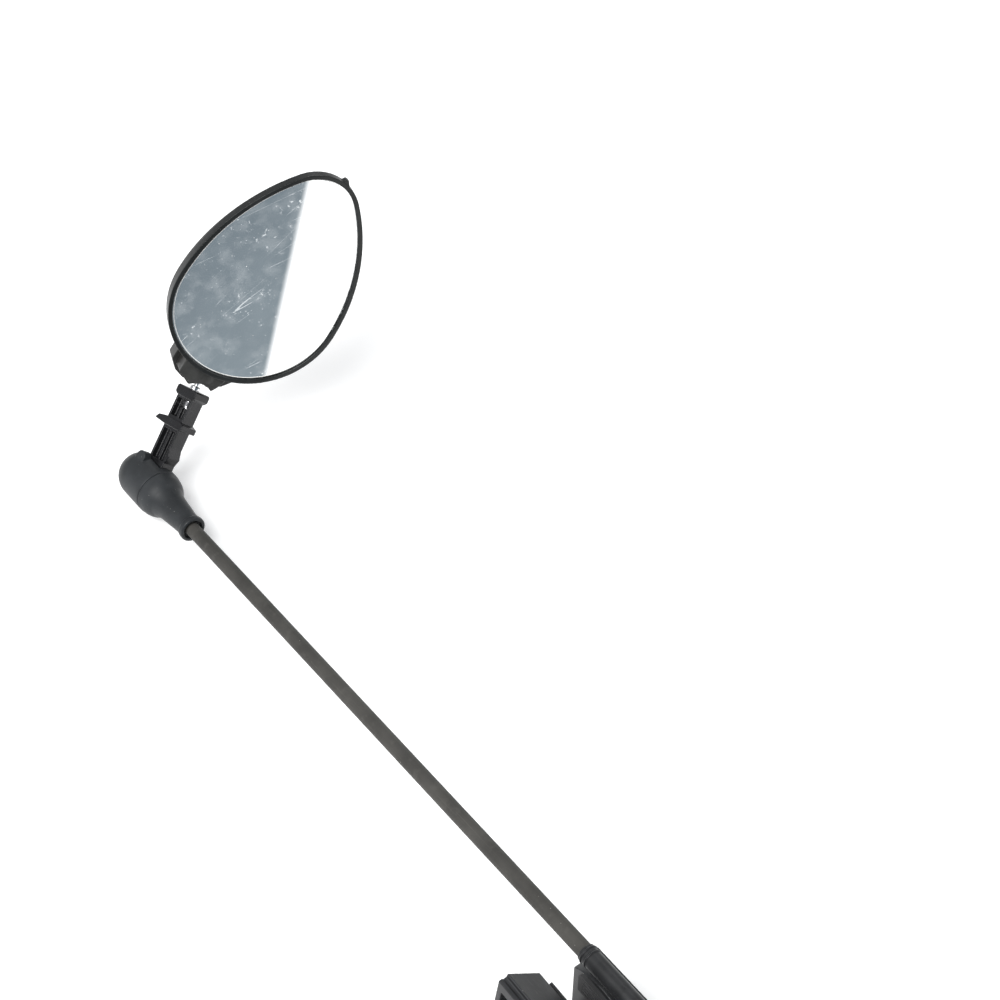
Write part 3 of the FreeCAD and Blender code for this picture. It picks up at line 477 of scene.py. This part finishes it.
class Recipe:
    """A Geometry Nodes tree with named inputs, for what repeats or follows a line."""

    def __init__(self, name: str) -> None:
        """Start a tree with a geometry output, a host shape as its first input, and a finish.

        Args:
            name: The tree's name.
        """
        self.tree = bpy.data.node_groups.new(name, "GeometryNodeTree")
        self.tree.interface.new_socket(name="Shape", in_out="OUTPUT", socket_type=Entry.SHAPE.value)
        self.source = self.tree.nodes.new("NodeGroupInput")
        self.sink = self.tree.nodes.new("NodeGroupOutput")
        self.keys: dict[str, str] = {}
        self.host = self.ask("Host", Entry.SHAPE)
        self.finish = self.ask("Finish", Entry.FINISH)

    def ask(self, name: str, entry: Entry) -> bpy.types.NodeSocket:
        """Add a named input and return its socket."""
        item = self.tree.interface.new_socket(name=name, in_out="INPUT", socket_type=entry.value)
        self.keys[name] = item.identifier
        return self.source.outputs[name]

    def add(self, kind: str, settings: dict[str, Any] | None = None,
            sockets: dict[str | int, Any] | None = None, output: str | int = 0) -> bpy.types.NodeSocket:
        """Add any node.

        Args:
            kind: The node's type.
            settings: Its settings, set before its sockets.
            sockets: Values or sockets for its inputs.
            output: Which of its outputs to return.

        Returns:
            The chosen output socket.
        """
        node = self.tree.nodes.new(kind)
        for name, value in (settings or {}).items():
            setattr(node, name, value)
        for key, value in (sockets or {}).items():
            if isinstance(value, bpy.types.NodeSocket):
                self.tree.links.new(value, node.inputs[key])
            else:
                node.inputs[key].default_value = value
        return node.outputs[output]

    def spread(self, points: bpy.types.NodeSocket, item: bpy.types.NodeSocket,
               **more: Any) -> bpy.types.NodeSocket:
        """Set an item on every point."""
        return self.add("GeometryNodeInstanceOnPoints", {}, {"Points": points, "Instance": item, **more})

    def close(self, shape: bpy.types.NodeSocket) -> None:
        """End the tree: real meshes, smooth, in the finish."""
        real = self.add("GeometryNodeRealizeInstances", {}, {0: shape})
        smooth = self.add("GeometryNodeSetShadeSmooth", {}, {"Geometry": real})
        done = self.add("GeometryNodeSetMaterial", {}, {"Geometry": smooth, "Material": self.finish})
        self.tree.links.new(done, self.sink.inputs[0])

    def cook(self, name: str, finish: bpy.types.Material, values: dict[str, float],
             home: Matrix = Matrix(), host: bpy.types.Mesh | None = None) -> bpy.types.Object:
        """Run the tree and keep its result as a plain mesh.

        Args:
            name: The new piece's name.
            finish: Its material.
            values: Values of the named inputs.
            home: Where the result goes.
            host: The mesh that the tree starts from, if it needs one.

        Returns:
            The new piece, its place in its mesh.
        """
        carrier = _new_object(name + "_carrier", host or bpy.data.meshes.new(name + "_host"))
        step = carrier.modifiers.new("recipe", "NODES")
        step.node_group = self.tree
        step[self.keys["Finish"]] = finish
        for key, value in values.items():
            step[self.keys[key]] = value
        mesh = _evaluated(carrier)
        carrier.modifiers.remove(step)
        bpy.data.objects.remove(carrier)
        mesh.transform(home)
        return _new_object(name, mesh)


def bar_row() -> Recipe:
    """A row of round bars that lie along X, one above the other along Z."""
    recipe = Recipe("bar_row")
    count, gap = recipe.ask("Count", Entry.COUNT), recipe.ask("Gap", Entry.LENGTH)
    length, radius = recipe.ask("Length", Entry.LENGTH), recipe.ask("Radius", Entry.LENGTH)
    offset = recipe.add("ShaderNodeCombineXYZ", {}, {"Z": gap})
    line = recipe.add("GeometryNodeMeshLine", {}, {"Count": count, "Offset": offset})
    bar = recipe.add("GeometryNodeMeshCylinder", {}, {"Vertices": 12, "Radius": radius, "Depth": length})
    recipe.close(recipe.spread(line, bar, Rotation=(0, math.pi / 2, 0)))
    return recipe


def ring_row() -> Recipe:
    """A row of round beads, each a ring about Z."""
    recipe = Recipe("ring_row")
    count, gap = recipe.ask("Count", Entry.COUNT), recipe.ask("Gap", Entry.LENGTH)
    radius, bead = recipe.ask("Radius", Entry.LENGTH), recipe.ask("Bead", Entry.LENGTH)
    offset = recipe.add("ShaderNodeCombineXYZ", {}, {"Z": gap})
    line = recipe.add("GeometryNodeMeshLine", {}, {"Count": count, "Offset": offset})
    path = recipe.add("GeometryNodeCurvePrimitiveCircle", {}, {"Resolution": 64, "Radius": radius})
    section = recipe.add("GeometryNodeCurvePrimitiveCircle", {}, {"Resolution": 10, "Radius": bead})
    ring = recipe.add("GeometryNodeCurveToMesh", {}, {"Curve": path, "Profile Curve": section})
    recipe.close(recipe.spread(line, ring))
    return recipe


def nib_ring() -> Recipe:
    """A circle of low round nibs about Z."""
    recipe = Recipe("nib_ring")
    count, radius = recipe.ask("Count", Entry.COUNT), recipe.ask("Radius", Entry.LENGTH)
    nib = recipe.ask("Nib", Entry.LENGTH)
    circle = recipe.add("GeometryNodeMeshCircle", {}, {"Vertices": count, "Radius": radius})
    dome = recipe.add("GeometryNodeMeshUVSphere", {}, {"Segments": 12, "Rings": 8, "Radius": nib})
    recipe.close(recipe.spread(circle, dome, Scale=(1, 1, 0.5)))
    return recipe


def speck_scatter() -> Recipe:
    """Specks scattered over the host's faces, of uneven size, with a fixed seed."""
    recipe = Recipe("speck_scatter")
    density, small = recipe.ask("Density", Entry.LENGTH), recipe.ask("Smallest", Entry.LENGTH)
    large = recipe.ask("Largest", Entry.LENGTH)
    points = recipe.add("GeometryNodeDistributePointsOnFaces", {}, {
        "Mesh": recipe.host, "Density": density, "Seed": 11})
    size = recipe.add("FunctionNodeRandomValue", {"data_type": "FLOAT"}, {2: small, 3: large, "Seed": 5}, 1)
    speck = recipe.add("GeometryNodeMeshIcoSphere", {}, {"Radius": 1.0, "Subdivisions": 1})
    recipe.close(recipe.spread(points, speck, Scale=size))
    return recipe


def bead_path() -> Recipe:
    """A round bead that follows the host's edges."""
    recipe = Recipe("bead_path")
    bead = recipe.ask("Bead", Entry.LENGTH)
    path = recipe.add("GeometryNodeMeshToCurve", {}, {"Mesh": recipe.host})
    section = recipe.add("GeometryNodeCurvePrimitiveCircle", {}, {"Resolution": 10, "Radius": bead})
    recipe.close(recipe.add("GeometryNodeCurveToMesh", {}, {
        "Curve": path, "Profile Curve": section, "Fill Caps": True}))
    return recipe


# ---------------------------------------------------------------- mesh helpers

def _new_object(name: str, mesh: bpy.types.Mesh) -> bpy.types.Object:
    """Link a new object at the origin."""
    made = bpy.data.objects.new(name, mesh)
    bpy.context.scene.collection.objects.link(made)
    return made


def _evaluated(thing: bpy.types.Object) -> bpy.types.Mesh:
    """The object's mesh as its modifiers leave it."""
    view = bpy.context.evaluated_depsgraph_get()
    view.update()
    return bpy.data.meshes.new_from_object(thing.evaluated_get(view))


def _merged_copy(node: str) -> bpy.types.Mesh:
    """A copy of a CAD node's mesh with its doubles merged."""
    mesh = bpy.data.meshes.new(node + "_copy")
    shape = bmesh.new()
    shape.from_mesh(frame["nodes"][node].data)
    bmesh.ops.remove_doubles(shape, verts=shape.verts, dist=0.002 * MM)
    shape.to_mesh(mesh)
    shape.free()
    return mesh


def _axes(right: Vector, ahead: Vector, upward: Vector, at: Vector) -> Matrix:
    """A placement whose own X, Y and Z point the given ways."""
    turn = Matrix((right, ahead, upward)).transposed().to_4x4()
    return Matrix.Translation(at) @ turn


def _joint(name: str) -> dict[str, Any]:
    """The record's entry for a joint."""
    return next(joint for joint in frame["joints"] if joint["name"] == name)


def _joint_axis(name: str) -> Vector:
    """A joint's axis."""
    return Vector(_joint(name)["axis"]).normalized()


def _joint_place(name: str) -> Vector:
    """A joint's place."""
    return Vector(_joint(name)["pos_m"])


def _middle(node: str) -> Vector:
    """The middle of a node's box."""
    low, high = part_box(node)
    return (Vector(low) + Vector(high)) / 2


def _flat_side(node: str, towards: Vector) -> tuple[Vector, Vector]:
    """The largest flat side of a node that faces a direction.

    Args:
        node: The CAD node.
        towards: The direction.

    Returns:
        The side's middle and its normal.
    """
    mesh = frame["nodes"][node].data
    sides: dict[tuple, list] = {}
    for face in mesh.polygons:
        if face.normal.dot(towards) > 0.5:
            sides.setdefault(tuple(round(part, 2) for part in face.normal), []).append(face)
    faces = max(sides.values(), key=lambda some: sum(face.area for face in some))
    area = sum(face.area for face in faces)
    centre = sum((face.center * face.area for face in faces), Vector()) / area
    return centre, faces[0].normal.copy()


# ---------------------------------------------------------------- pieces

@dataclass
class Moulding:
    """A CAD piece with the soft edges that a mould leaves."""

    node: str
    body: str
    voxel: float = 0.16 * MM
    ease: int = 6
    keep: float = 0.45

    def build(self, finish: Any) -> bpy.types.Object:
        """Round the piece's edges, dress it and let it stand for its CAD node.

        Args:
            finish: The finish it gets.

        Returns:
            The new piece.
        """
        carrier = _new_object(self.node + "_soft_carrier", _merged_copy(self.node))
        remesh = carrier.modifiers.new("skin", "REMESH")
        remesh.mode = "VOXEL"
        remesh.voxel_size = self.voxel
        ease = carrier.modifiers.new("ease", "SMOOTH")
        ease.factor = 0.5
        ease.iterations = self.ease
        thin = carrier.modifiers.new("thin", "DECIMATE")
        thin.ratio = self.keep
        mesh = _evaluated(carrier)
        bpy.data.objects.remove(carrier)
        mesh.shade_smooth()
        piece = _new_object(self.node + "_moulded", mesh)
        _dress(piece, self.body, finish)
        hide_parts(self.node)
        return piece


PAINTED: dict[Any, bpy.types.Material] = {}


def _material(finish: Any) -> bpy.types.Material:
    """The material of a finish, built once."""
    key = repr(finish)
    if key not in PAINTED:
        PAINTED[key] = finish.paint()
    return PAINTED[key]


def _dress(piece: bpy.types.Object, body: str, finish: Any) -> None:
    """Give a piece its finish, its body and its slot, and report it."""
    piece.data.materials.clear()
    piece.data.materials.append(_material(finish))
    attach(piece, body)
    LOG.info("%s rides on %s in %s, %d faces", piece.name, body, finish.slot.value, len(piece.data.polygons))


def _dress_node(node: str, finish: Any) -> None:
    """Give a CAD node a better material, in its object's own slots."""
    thing = frame["nodes"][node]
    for slot in thing.material_slots:
        slot.link = "OBJECT"
        slot.material = _material(finish)
    LOG.info("%s keeps its shape, in %s", node, finish.slot.value)


@dataclass
class Clip:
    """The clip: both jaws with their ribbed pads, the screw with its knob, and the pivot's fasteners."""

    pad_ribs: int = 5
    rib_gap: float = 1.45 * MM
    rib_radius: float = 0.3 * MM
    nib_radius: float = 0.55 * MM
    thread_pitch: float = 0.7 * MM

    def build(self) -> None:
        """Build and dress the clip's pieces."""
        nylon = Moulded(Slot.BLACK_NYLON, (0.015, 0.0155, 0.0165), 0.42, dust=0.14)
        rubber = Rubber(Slot.BLACK_RUBBER, (0.026, 0.026, 0.027), Vector((0, 1, 0)))
        Moulding("outer_jaw", "jaw", 0.2 * MM, 5, 0.3).build(nylon)
        Moulding("clip_frame", "clip", 0.2 * MM, 5, 0.35).build(nylon)
        Moulding("screw_knob", "screw", 0.15 * MM).build(nylon)
        self.ribs("inner_pad", "clip", Vector((-1, 0, 0)), rubber)
        self.ribs("outer_pad", "jaw", Vector((1, 0, 0.2)), rubber)
        self.nibs(nylon)
        self.fasteners()

    def ribs(self, node: str, body: str, towards: Vector, finish: Rubber) -> None:
        """Grip ribs across a pad's gripping side.

        Args:
            node: The pad.
            body: The body that it belongs to.
            towards: The way its gripping side faces.
            finish: The rubber.
        """
        _dress_node(node, finish)
        centre, normal = _flat_side(node, towards)
        across = Vector((0, 1, 0))
        upward = across.cross(normal).normalized()
        low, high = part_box(node)
        length = (high[1] - low[1]) - 3 * MM
        start = centre - normal * self.rib_radius * 0.45 - upward * self.rib_gap * (self.pad_ribs - 1) / 2
        piece = bar_row().cook(node + "_ribs", _material(finish), {
            "Count": self.pad_ribs, "Gap": self.rib_gap, "Length": length, "Radius": self.rib_radius},
            _axes(across, normal, upward, start))
        _dress(piece, body, finish)

    def nibs(self, finish: Moulded) -> None:
        """Low nibs on the knob's face, one on each lobe."""
        low, high = (Vector(corner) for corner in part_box("screw_knob"))
        radius = (high.z - low.z) / 2
        at = Vector((low.x, (low.y + high.y) / 2, (low.z + high.z) / 2))
        turn = Matrix.Rotation(math.pi / 8, 4, "X")
        home = _axes(Vector((0, 1, 0)), Vector((0, 0, 1)), Vector((1, 0, 0)), Vector())
        piece = nib_ring().cook("knob_nibs", _material(finish), {
            "Count": 8, "Radius": radius * 0.83, "Nib": self.nib_radius},
            Matrix.Translation(at) @ turn @ home)
        _dress(piece, "screw", finish)

    def fasteners(self) -> None:
        """Dress the screw, nut, washer and rings."""
        along = Vector((1, 0, 0))
        centre = _joint_place("knob_turn")
        _dress_node("clamp_screw", Turned(Slot.BRIGHT_STEEL, (0.62, 0.62, 0.63), 0.24, along, centre,
                                          self.thread_pitch))
        _dress_node("jaw_nut", Turned(Slot.NUT_BRASS, (0.72, 0.56, 0.28), 0.28, along))
        spring = Turned(Slot.SPRING_STEEL, (0.42, 0.42, 0.43), 0.34, along)
        for node in ("pivot_washer", "pivot_ring", "screw_clip"):
            _dress_node(node, spring)


@dataclass
class Arm:
    """The socket tube, the rod in its rubber cover and the elbow's fixed half."""

    crimps: int = 2
    crimp_gap: float = 1.5 * MM
    crimp_bead: float = 0.32 * MM

    def build(self) -> None:
        """Build and dress the arm's pieces."""
        ahead = _joint_axis("elbow_swivel")
        nylon = Moulded(Slot.BLACK_NYLON, (0.015, 0.0155, 0.0165), 0.42, dust=0.14)
        soft = Moulded(Slot.ELBOW_SOFT, (0.021, 0.023, 0.025), 0.48, grain=0.3 * MM, mottle=0.22)
        Moulding("arm_socket", "arm", 0.16 * MM).build(nylon)
        Moulding("elbow_cone", "arm", 0.13 * MM, 6, 0.4).build(soft)
        _dress_node("rod_sleeve", Rubber(Slot.ROD_RUBBER, (0.044, 0.042, 0.038), ahead, 0.5))
        _dress_node("rod_core", Turned(Slot.BRIGHT_STEEL, (0.62, 0.62, 0.63), 0.3, ahead))
        _dress_node("swivel_washer", Turned(Slot.SPRING_STEEL, (0.42, 0.42, 0.43), 0.34, ahead))
        self.crimp(ahead, nylon)

    def crimp(self, ahead: Vector, finish: Moulded) -> None:
        """Rings pressed round the mouth of the socket tube."""
        right = Vector((1, 0, 0))
        low, high = (Vector(corner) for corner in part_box("rod_sleeve"))
        radius = (high.x - low.x) / 2
        rod_middle = (low + high) / 2
        tube_high = Vector(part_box("arm_socket")[1])
        mouth = rod_middle + ahead * (tube_high.y - rod_middle.y) / ahead.y
        start = mouth - ahead * (self.crimp_gap * (self.crimps - 1) + 1.3 * MM)
        piece = ring_row().cook("tube_crimps", _material(finish), {
            "Count": self.crimps, "Gap": self.crimp_gap,
            "Radius": radius + 0.28 * MM, "Bead": self.crimp_bead},
            _axes(right, ahead.cross(right), ahead, start))
        _dress(piece, "arm", finish)


@dataclass
class Elbow:
    """The swivelling dome with its fold pin, the folding link and the ball stud."""

    def build(self) -> None:
        """Build and dress the elbow's and the link's pieces."""
        soft = Moulded(Slot.ELBOW_SOFT, (0.021, 0.023, 0.025), 0.48, grain=0.3 * MM, mottle=0.22)
        acetal = Moulded(Slot.LINK_ACETAL, (0.008, 0.008, 0.009), 0.26, grain=0.35 * MM,
                         relief=0.006 * MM, coat=0.25)
        Moulding("elbow_cap", "elbow", 0.13 * MM, 6, 0.4).build(soft)
        Moulding("link_frame", "link", 0.13 * MM, 4, 0.5).build(acetal)
        along_pin, along_stud = _joint_axis("link_fold"), _joint_axis("stud_spin")
        steel = (0.62, 0.62, 0.63)
        _dress_node("fold_pin", Turned(Slot.BRIGHT_STEEL, steel, 0.24, along_pin))
        _dress_node("swivel_screw", Turned(Slot.BRIGHT_STEEL, steel, 0.26, _joint_axis("elbow_swivel")))
        _dress_node("ball_stud", Turned(Slot.BRIGHT_STEEL, (0.70, 0.70, 0.71), 0.2, along_stud))
        _dress_node("stud_nut", Turned(Slot.SPRING_STEEL, (0.10, 0.10, 0.105), 0.4, along_stud))
        _dress_node("ball_race", Moulded(Slot.RACE_ACETAL, (0.016, 0.016, 0.017), 0.34, mottle=0.1))


@dataclass
class Head:
    """The mirror head: glass, film, foam, bezel, shell and the split socket."""

    glass_bevel: float = 0.45 * MM
    film_gap: float = 0.02 * MM
    speck_density: float = 30000.0
    speck_small: float = 0.04 * MM
    speck_large: float = 0.13 * MM
    # Place and width of the white bead that paints a highlight along the glass's rim.
    edge_inset: float = 0.8 * MM
    edge_bead: float = 0.12 * MM

    def build(self) -> None:
        """Build and dress the head's pieces."""
        shell = Moulded(Slot.SHELL_ABS, (0.024, 0.024, 0.023), 0.38, grain=0.28 * MM)
        bezel = Moulded(Slot.BEZEL_ABS, (0.010, 0.011, 0.011), 0.34, grain=0.25 * MM,
                        relief=0.007 * MM, mottle=0.2)
        Moulding("mirror_shell", "head", 0.24 * MM, 5, 0.4).build(shell)
        Moulding("socket_cap", "head", 0.16 * MM).build(shell)
        Moulding("mirror_bezel", "head", 0.17 * MM, 5, 0.5).build(bezel)
        self.foam()
        centre, outward = _flat_side("mirror_lens", self.front_way())
        face_turn = outward.rotation_difference(Vector((0, -1, 0))).to_euler()
        acrylic = ScratchedAcrylic(Slot.CLEAR_ACRYLIC, tuple(face_turn))
        self.glass(outward, acrylic)
        self.specks(outward, centre)
        # A white bead along the glass's rim: a painted highlight.
        self.edge_highlight(centre, outward)
        _dress_node("mirror_film", SilverFilm(Slot.SILVER_FILM))
        _dress_node("socket_screws", Turned(Slot.BRIGHT_STEEL, (0.62, 0.62, 0.63), 0.24, outward))

    def front_way(self) -> Vector:
        """The way that the glass faces: from the shell to the glass."""
        return (_middle("mirror_lens") - _middle("mirror_shell")).normalized()

    def foam(self) -> None:
        """The foam block behind the film, with its edges pressed round."""
        foam = Foam(Slot.FOAM_WHITE, (0.55, 0.55, 0.53))
        piece = Moulding("foam_pad", "head", 0.3 * MM, 12, 0.3).build(foam)

    def glass(self, outward: Vector, finish: ScratchedAcrylic) -> None:
        """The glass with a polished bevel, a hair in front of its film.

        Args:
            outward: The way that it faces.
            finish: The acrylic.
        """
        shape = bmesh.new()
        shape.from_mesh(frame["nodes"]["mirror_lens"].data)
        bmesh.ops.remove_doubles(shape, verts=shape.verts, dist=0.002 * MM)
        bmesh.ops.dissolve_limit(shape, angle_limit=math.radians(1), verts=shape.verts, edges=shape.edges)
        rims = [edge for edge in shape.edges
                if len(edge.link_faces) == 2 and edge.calc_face_angle(0) > math.radians(60)]
        bmesh.ops.bevel(shape, geom=rims, offset=self.glass_bevel, segments=3, profile=0.5, affect="EDGES")
        bmesh.ops.translate(shape, verts=shape.verts, vec=outward * self.film_gap)
        bmesh.ops.triangulate(shape, faces=shape.faces)
        mesh = bpy.data.meshes.new("mirror_glass")
        shape.to_mesh(mesh)
        shape.free()
        piece = _new_object("mirror_glass", mesh)
        _dress(piece, "head", finish)
        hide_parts("mirror_lens")

    def edge_highlight(self, centre: Vector, outward: Vector) -> None:
        """A thin white bead just inside the glass's rim, where the glass meets the bezel: a painted
        highlight of the glass's bevel.

        Args:
            centre: The middle of the glass's face.
            outward: The way that it faces.
        """
        shape = bmesh.new()
        shape.from_mesh(frame["nodes"]["mirror_lens"].data)
        bmesh.ops.remove_doubles(shape, verts=shape.verts, dist=0.002 * MM)
        face = [item for item in shape.faces if item.normal.dot(outward) > 0.99]
        rim = {edge for item in face for edge in item.edges
               if any(other.normal.dot(outward) < 0.99 for other in edge.link_faces)}
        inner = [edge for edge in shape.edges if edge not in rim]
        bmesh.ops.delete(shape, geom=inner, context="EDGES_FACES")
        loose = [vert for vert in shape.verts if not vert.link_edges]
        bmesh.ops.delete(shape, geom=loose, context="VERTS")
        for vert in shape.verts:
            vert.co += (centre - vert.co).normalized() * self.edge_inset
        mesh = bpy.data.meshes.new("glass_rim")
        shape.to_mesh(mesh)
        shape.free()
        # The white bead is a painted highlight along the glass's bevel, in the foam's white finish.
        dust = Foam(Slot.FOAM_WHITE, (0.86, 0.86, 0.84))
        piece = bead_path().cook("glass_edge_highlight", _material(dust), {"Bead": self.edge_bead}, host=mesh)
        _dress(piece, "head", dust)

    def specks(self, outward: Vector, centre: Vector) -> None:
        """Dust that lies on the glass.

        Args:
            outward: The way that the glass faces.
            centre: The middle of its face.
        """
        shape = bmesh.new()
        shape.from_mesh(frame["nodes"]["mirror_lens"].data)
        hidden = [face for face in shape.faces if face.normal.dot(outward) < 0.99]
        bmesh.ops.delete(shape, geom=hidden, context="FACES")
        bmesh.ops.scale(shape, vec=(0.94, 0.94, 0.94), verts=shape.verts, space=Matrix.Translation(-centre))
        mesh = bpy.data.meshes.new("glass_face")
        shape.to_mesh(mesh)
        shape.free()
        dust = Foam(Slot.FOAM_WHITE, (0.86, 0.86, 0.84))
        piece = speck_scatter().cook("glass_dust", _material(dust), {
            "Density": self.speck_density, "Smallest": self.speck_small,
            "Largest": self.speck_large}, host=mesh)
        _dress(piece, "head", dust)


# ---------------------------------------------------------------- studio

@dataclass
class Studio:
    """A white table, soft light from the upper left, and the camera."""

    azimuth: float = 322.65
    elevation: float = 48.5
    distance: float = 0.5709
    aim: Vector = Vector((0.0762, 0.1390, 0.0005))
    roll: float = 0.4
    lens: float = 72.0
    sensor: float = 36.0
    key_way: Vector = Vector((-0.563, -0.145, 0.814))
    key_distance: float = 0.9
    key_size: float = 0.6
    key_power: float = 10.5
    sky: float = 0.5

    # Tones and boundary of the painted reflection that the glowing card shows in the mirror.
    card_dark: Colour = (0.13, 0.165, 0.195)
    card_light: Colour = (0.30, 0.355, 0.39)
    card_edge: float = 35.0 * MM
    card_slope: float = 0.37

    def build(self) -> None:
        """Set up the table, the lights, the reflection card and the camera."""
        low, high = (Vector(corner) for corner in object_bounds())
        self.table(low.z)
        self.card(low.z)
        self.light("key", (low + high) / 2, self.key_way, self.key_size, self.key_power)
        self.light("rim", (low + high) / 2, Vector((0.55, 0.6, 0.6)), 0.3, 1.6)
        self.surround()
        self.camera()
        bpy.context.scene.view_settings.view_transform = "Standard"

    def table(self, height: float) -> None:
        """The white table under the object."""
        mesh = bpy.data.meshes.new("table_top")
        half = 2.5
        corners = [(-half, -half), (half, -half), (half, half), (-half, half)]
        mesh.from_pydata([(*corner, height) for corner in corners], [], [(0, 1, 2, 3)])
        top = _new_object("table_top", mesh)
        paint = Paint("table_paper")
        fibre = paint.noise(paint.place(), 30 * MM, 3)
        top.data.materials.append(paint.shade({
            "Base Color": paint.blend(fibre, (0.86, 0.86, 0.86), (0.9, 0.9, 0.9)), "Roughness": 0.8,
            "Specular IOR Level": 0.2, "Emission Color": (1.0, 1.0, 1.0, 1.0), "Emission Strength": 0.28}))
        top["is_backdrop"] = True

    def card(self, height: float) -> None:
        """A glowing card that only the mirror sees, grey-blue on its left and white on its right: a painted
        reflection, lit by its own emission and not a lamp.
        """
        y = _joint_place("head_turn").y - 55 * MM
        top, foot, reach = 110 * MM, height + 0.5 * MM, 150 * MM
        mesh = bpy.data.meshes.new("painted_reflection_card")
        mesh.from_pydata([(-reach, y, foot), (reach, y, foot), (reach, y, top), (-reach, y, top)],
                         [], [(0, 1, 2, 3)])
        card = _new_object("painted_reflection_card", mesh)
        # Painted reflection: the card's grey-blue gradient and its white side are emission, seen only in the
        # mirror.
        paint = Paint("reflection_card_glow")
        at = paint.place()
        cloud = paint.noise(at, 22 * MM, 3)
        rise = (paint.along(at, Vector((0.5, 0, -0.85))) / (90 * MM)) * 0.6 + 0.42
        grey = paint.blend((rise + cloud * 0.3).band(0.0, 1.0), self.card_dark, self.card_light)
        edge = paint.along(at, Vector((1, 0, -self.card_slope))) - self.card_edge
        tone = paint.blend(edge.band(-1.6 * MM, 1.6 * MM), grey, (1.6, 1.6, 1.6))
        card.data.materials.append(paint.shade({
            "Base Color": (0.0, 0.0, 0.0, 1.0), "Emission Color": tone, "Emission Strength": 1.0,
            "Roughness": 1.0, "Specular IOR Level": 0.0}))
        card.visible_camera = False
        card.visible_diffuse = False
        card.visible_shadow = False
        card.visible_transmission = False
        card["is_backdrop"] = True

    def light(self, name: str, centre: Vector, way: Vector, size: float, power: float) -> None:
        """A square soft light.

        Args:
            name: Its name.
            centre: What it shines on.
            way: The direction from there to the light.
            size: Its side.
            power: Its power in watts.
        """
        data = bpy.data.lights.new(name, "AREA")
        data.size = size
        data.energy = power
        lamp = bpy.data.objects.new(name, data)
        lamp.location = centre + way.normalized() * self.key_distance
        lamp.rotation_euler = way.to_track_quat("Z", "Y").to_euler()
        bpy.context.scene.collection.objects.link(lamp)

    def surround(self) -> None:
        """The pale room that lights everything evenly."""
        world = bpy.data.worlds.new("pale_room")
        world.use_nodes = True
        sky = world.node_tree.nodes["Background"]
        sky.inputs["Color"].default_value = (0.96, 0.98, 1.0, 1.0)
        sky.inputs["Strength"].default_value = self.sky
        bpy.context.scene.world = world

    def camera(self) -> None:
        """The camera, turned to the object from its azimuth and elevation."""
        across, tall = math.radians(self.azimuth), math.radians(self.elevation)
        level = math.cos(tall)
        back = Vector((math.sin(across) * level, -math.cos(across) * level, math.sin(tall)))
        data = bpy.data.cameras.new("camera")
        data.lens = self.lens
        data.sensor_width = self.sensor
        data.clip_start, data.clip_end = 0.01, 20.0
        camera = bpy.data.objects.new("camera", data)
        camera.location = self.aim + back * self.distance
        upright = back.to_track_quat("Z", "Y").to_matrix()
        camera.rotation_euler = (upright @ Matrix.Rotation(math.radians(self.roll), 3, "Z")).to_euler()
        bpy.context.scene.collection.objects.link(camera)
        bpy.context.scene.camera = camera


def main() -> None:
    """Build everything in order."""
    logging.basicConfig(level=logging.INFO, format="%(message)s")
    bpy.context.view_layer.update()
    Studio().build()
    for group in (Clip(), Arm(), Elbow(), Head()):
        LOG.info("building the %s", type(group).__name__.lower())
        group.build()


if __name__ == "__main__":
    main()
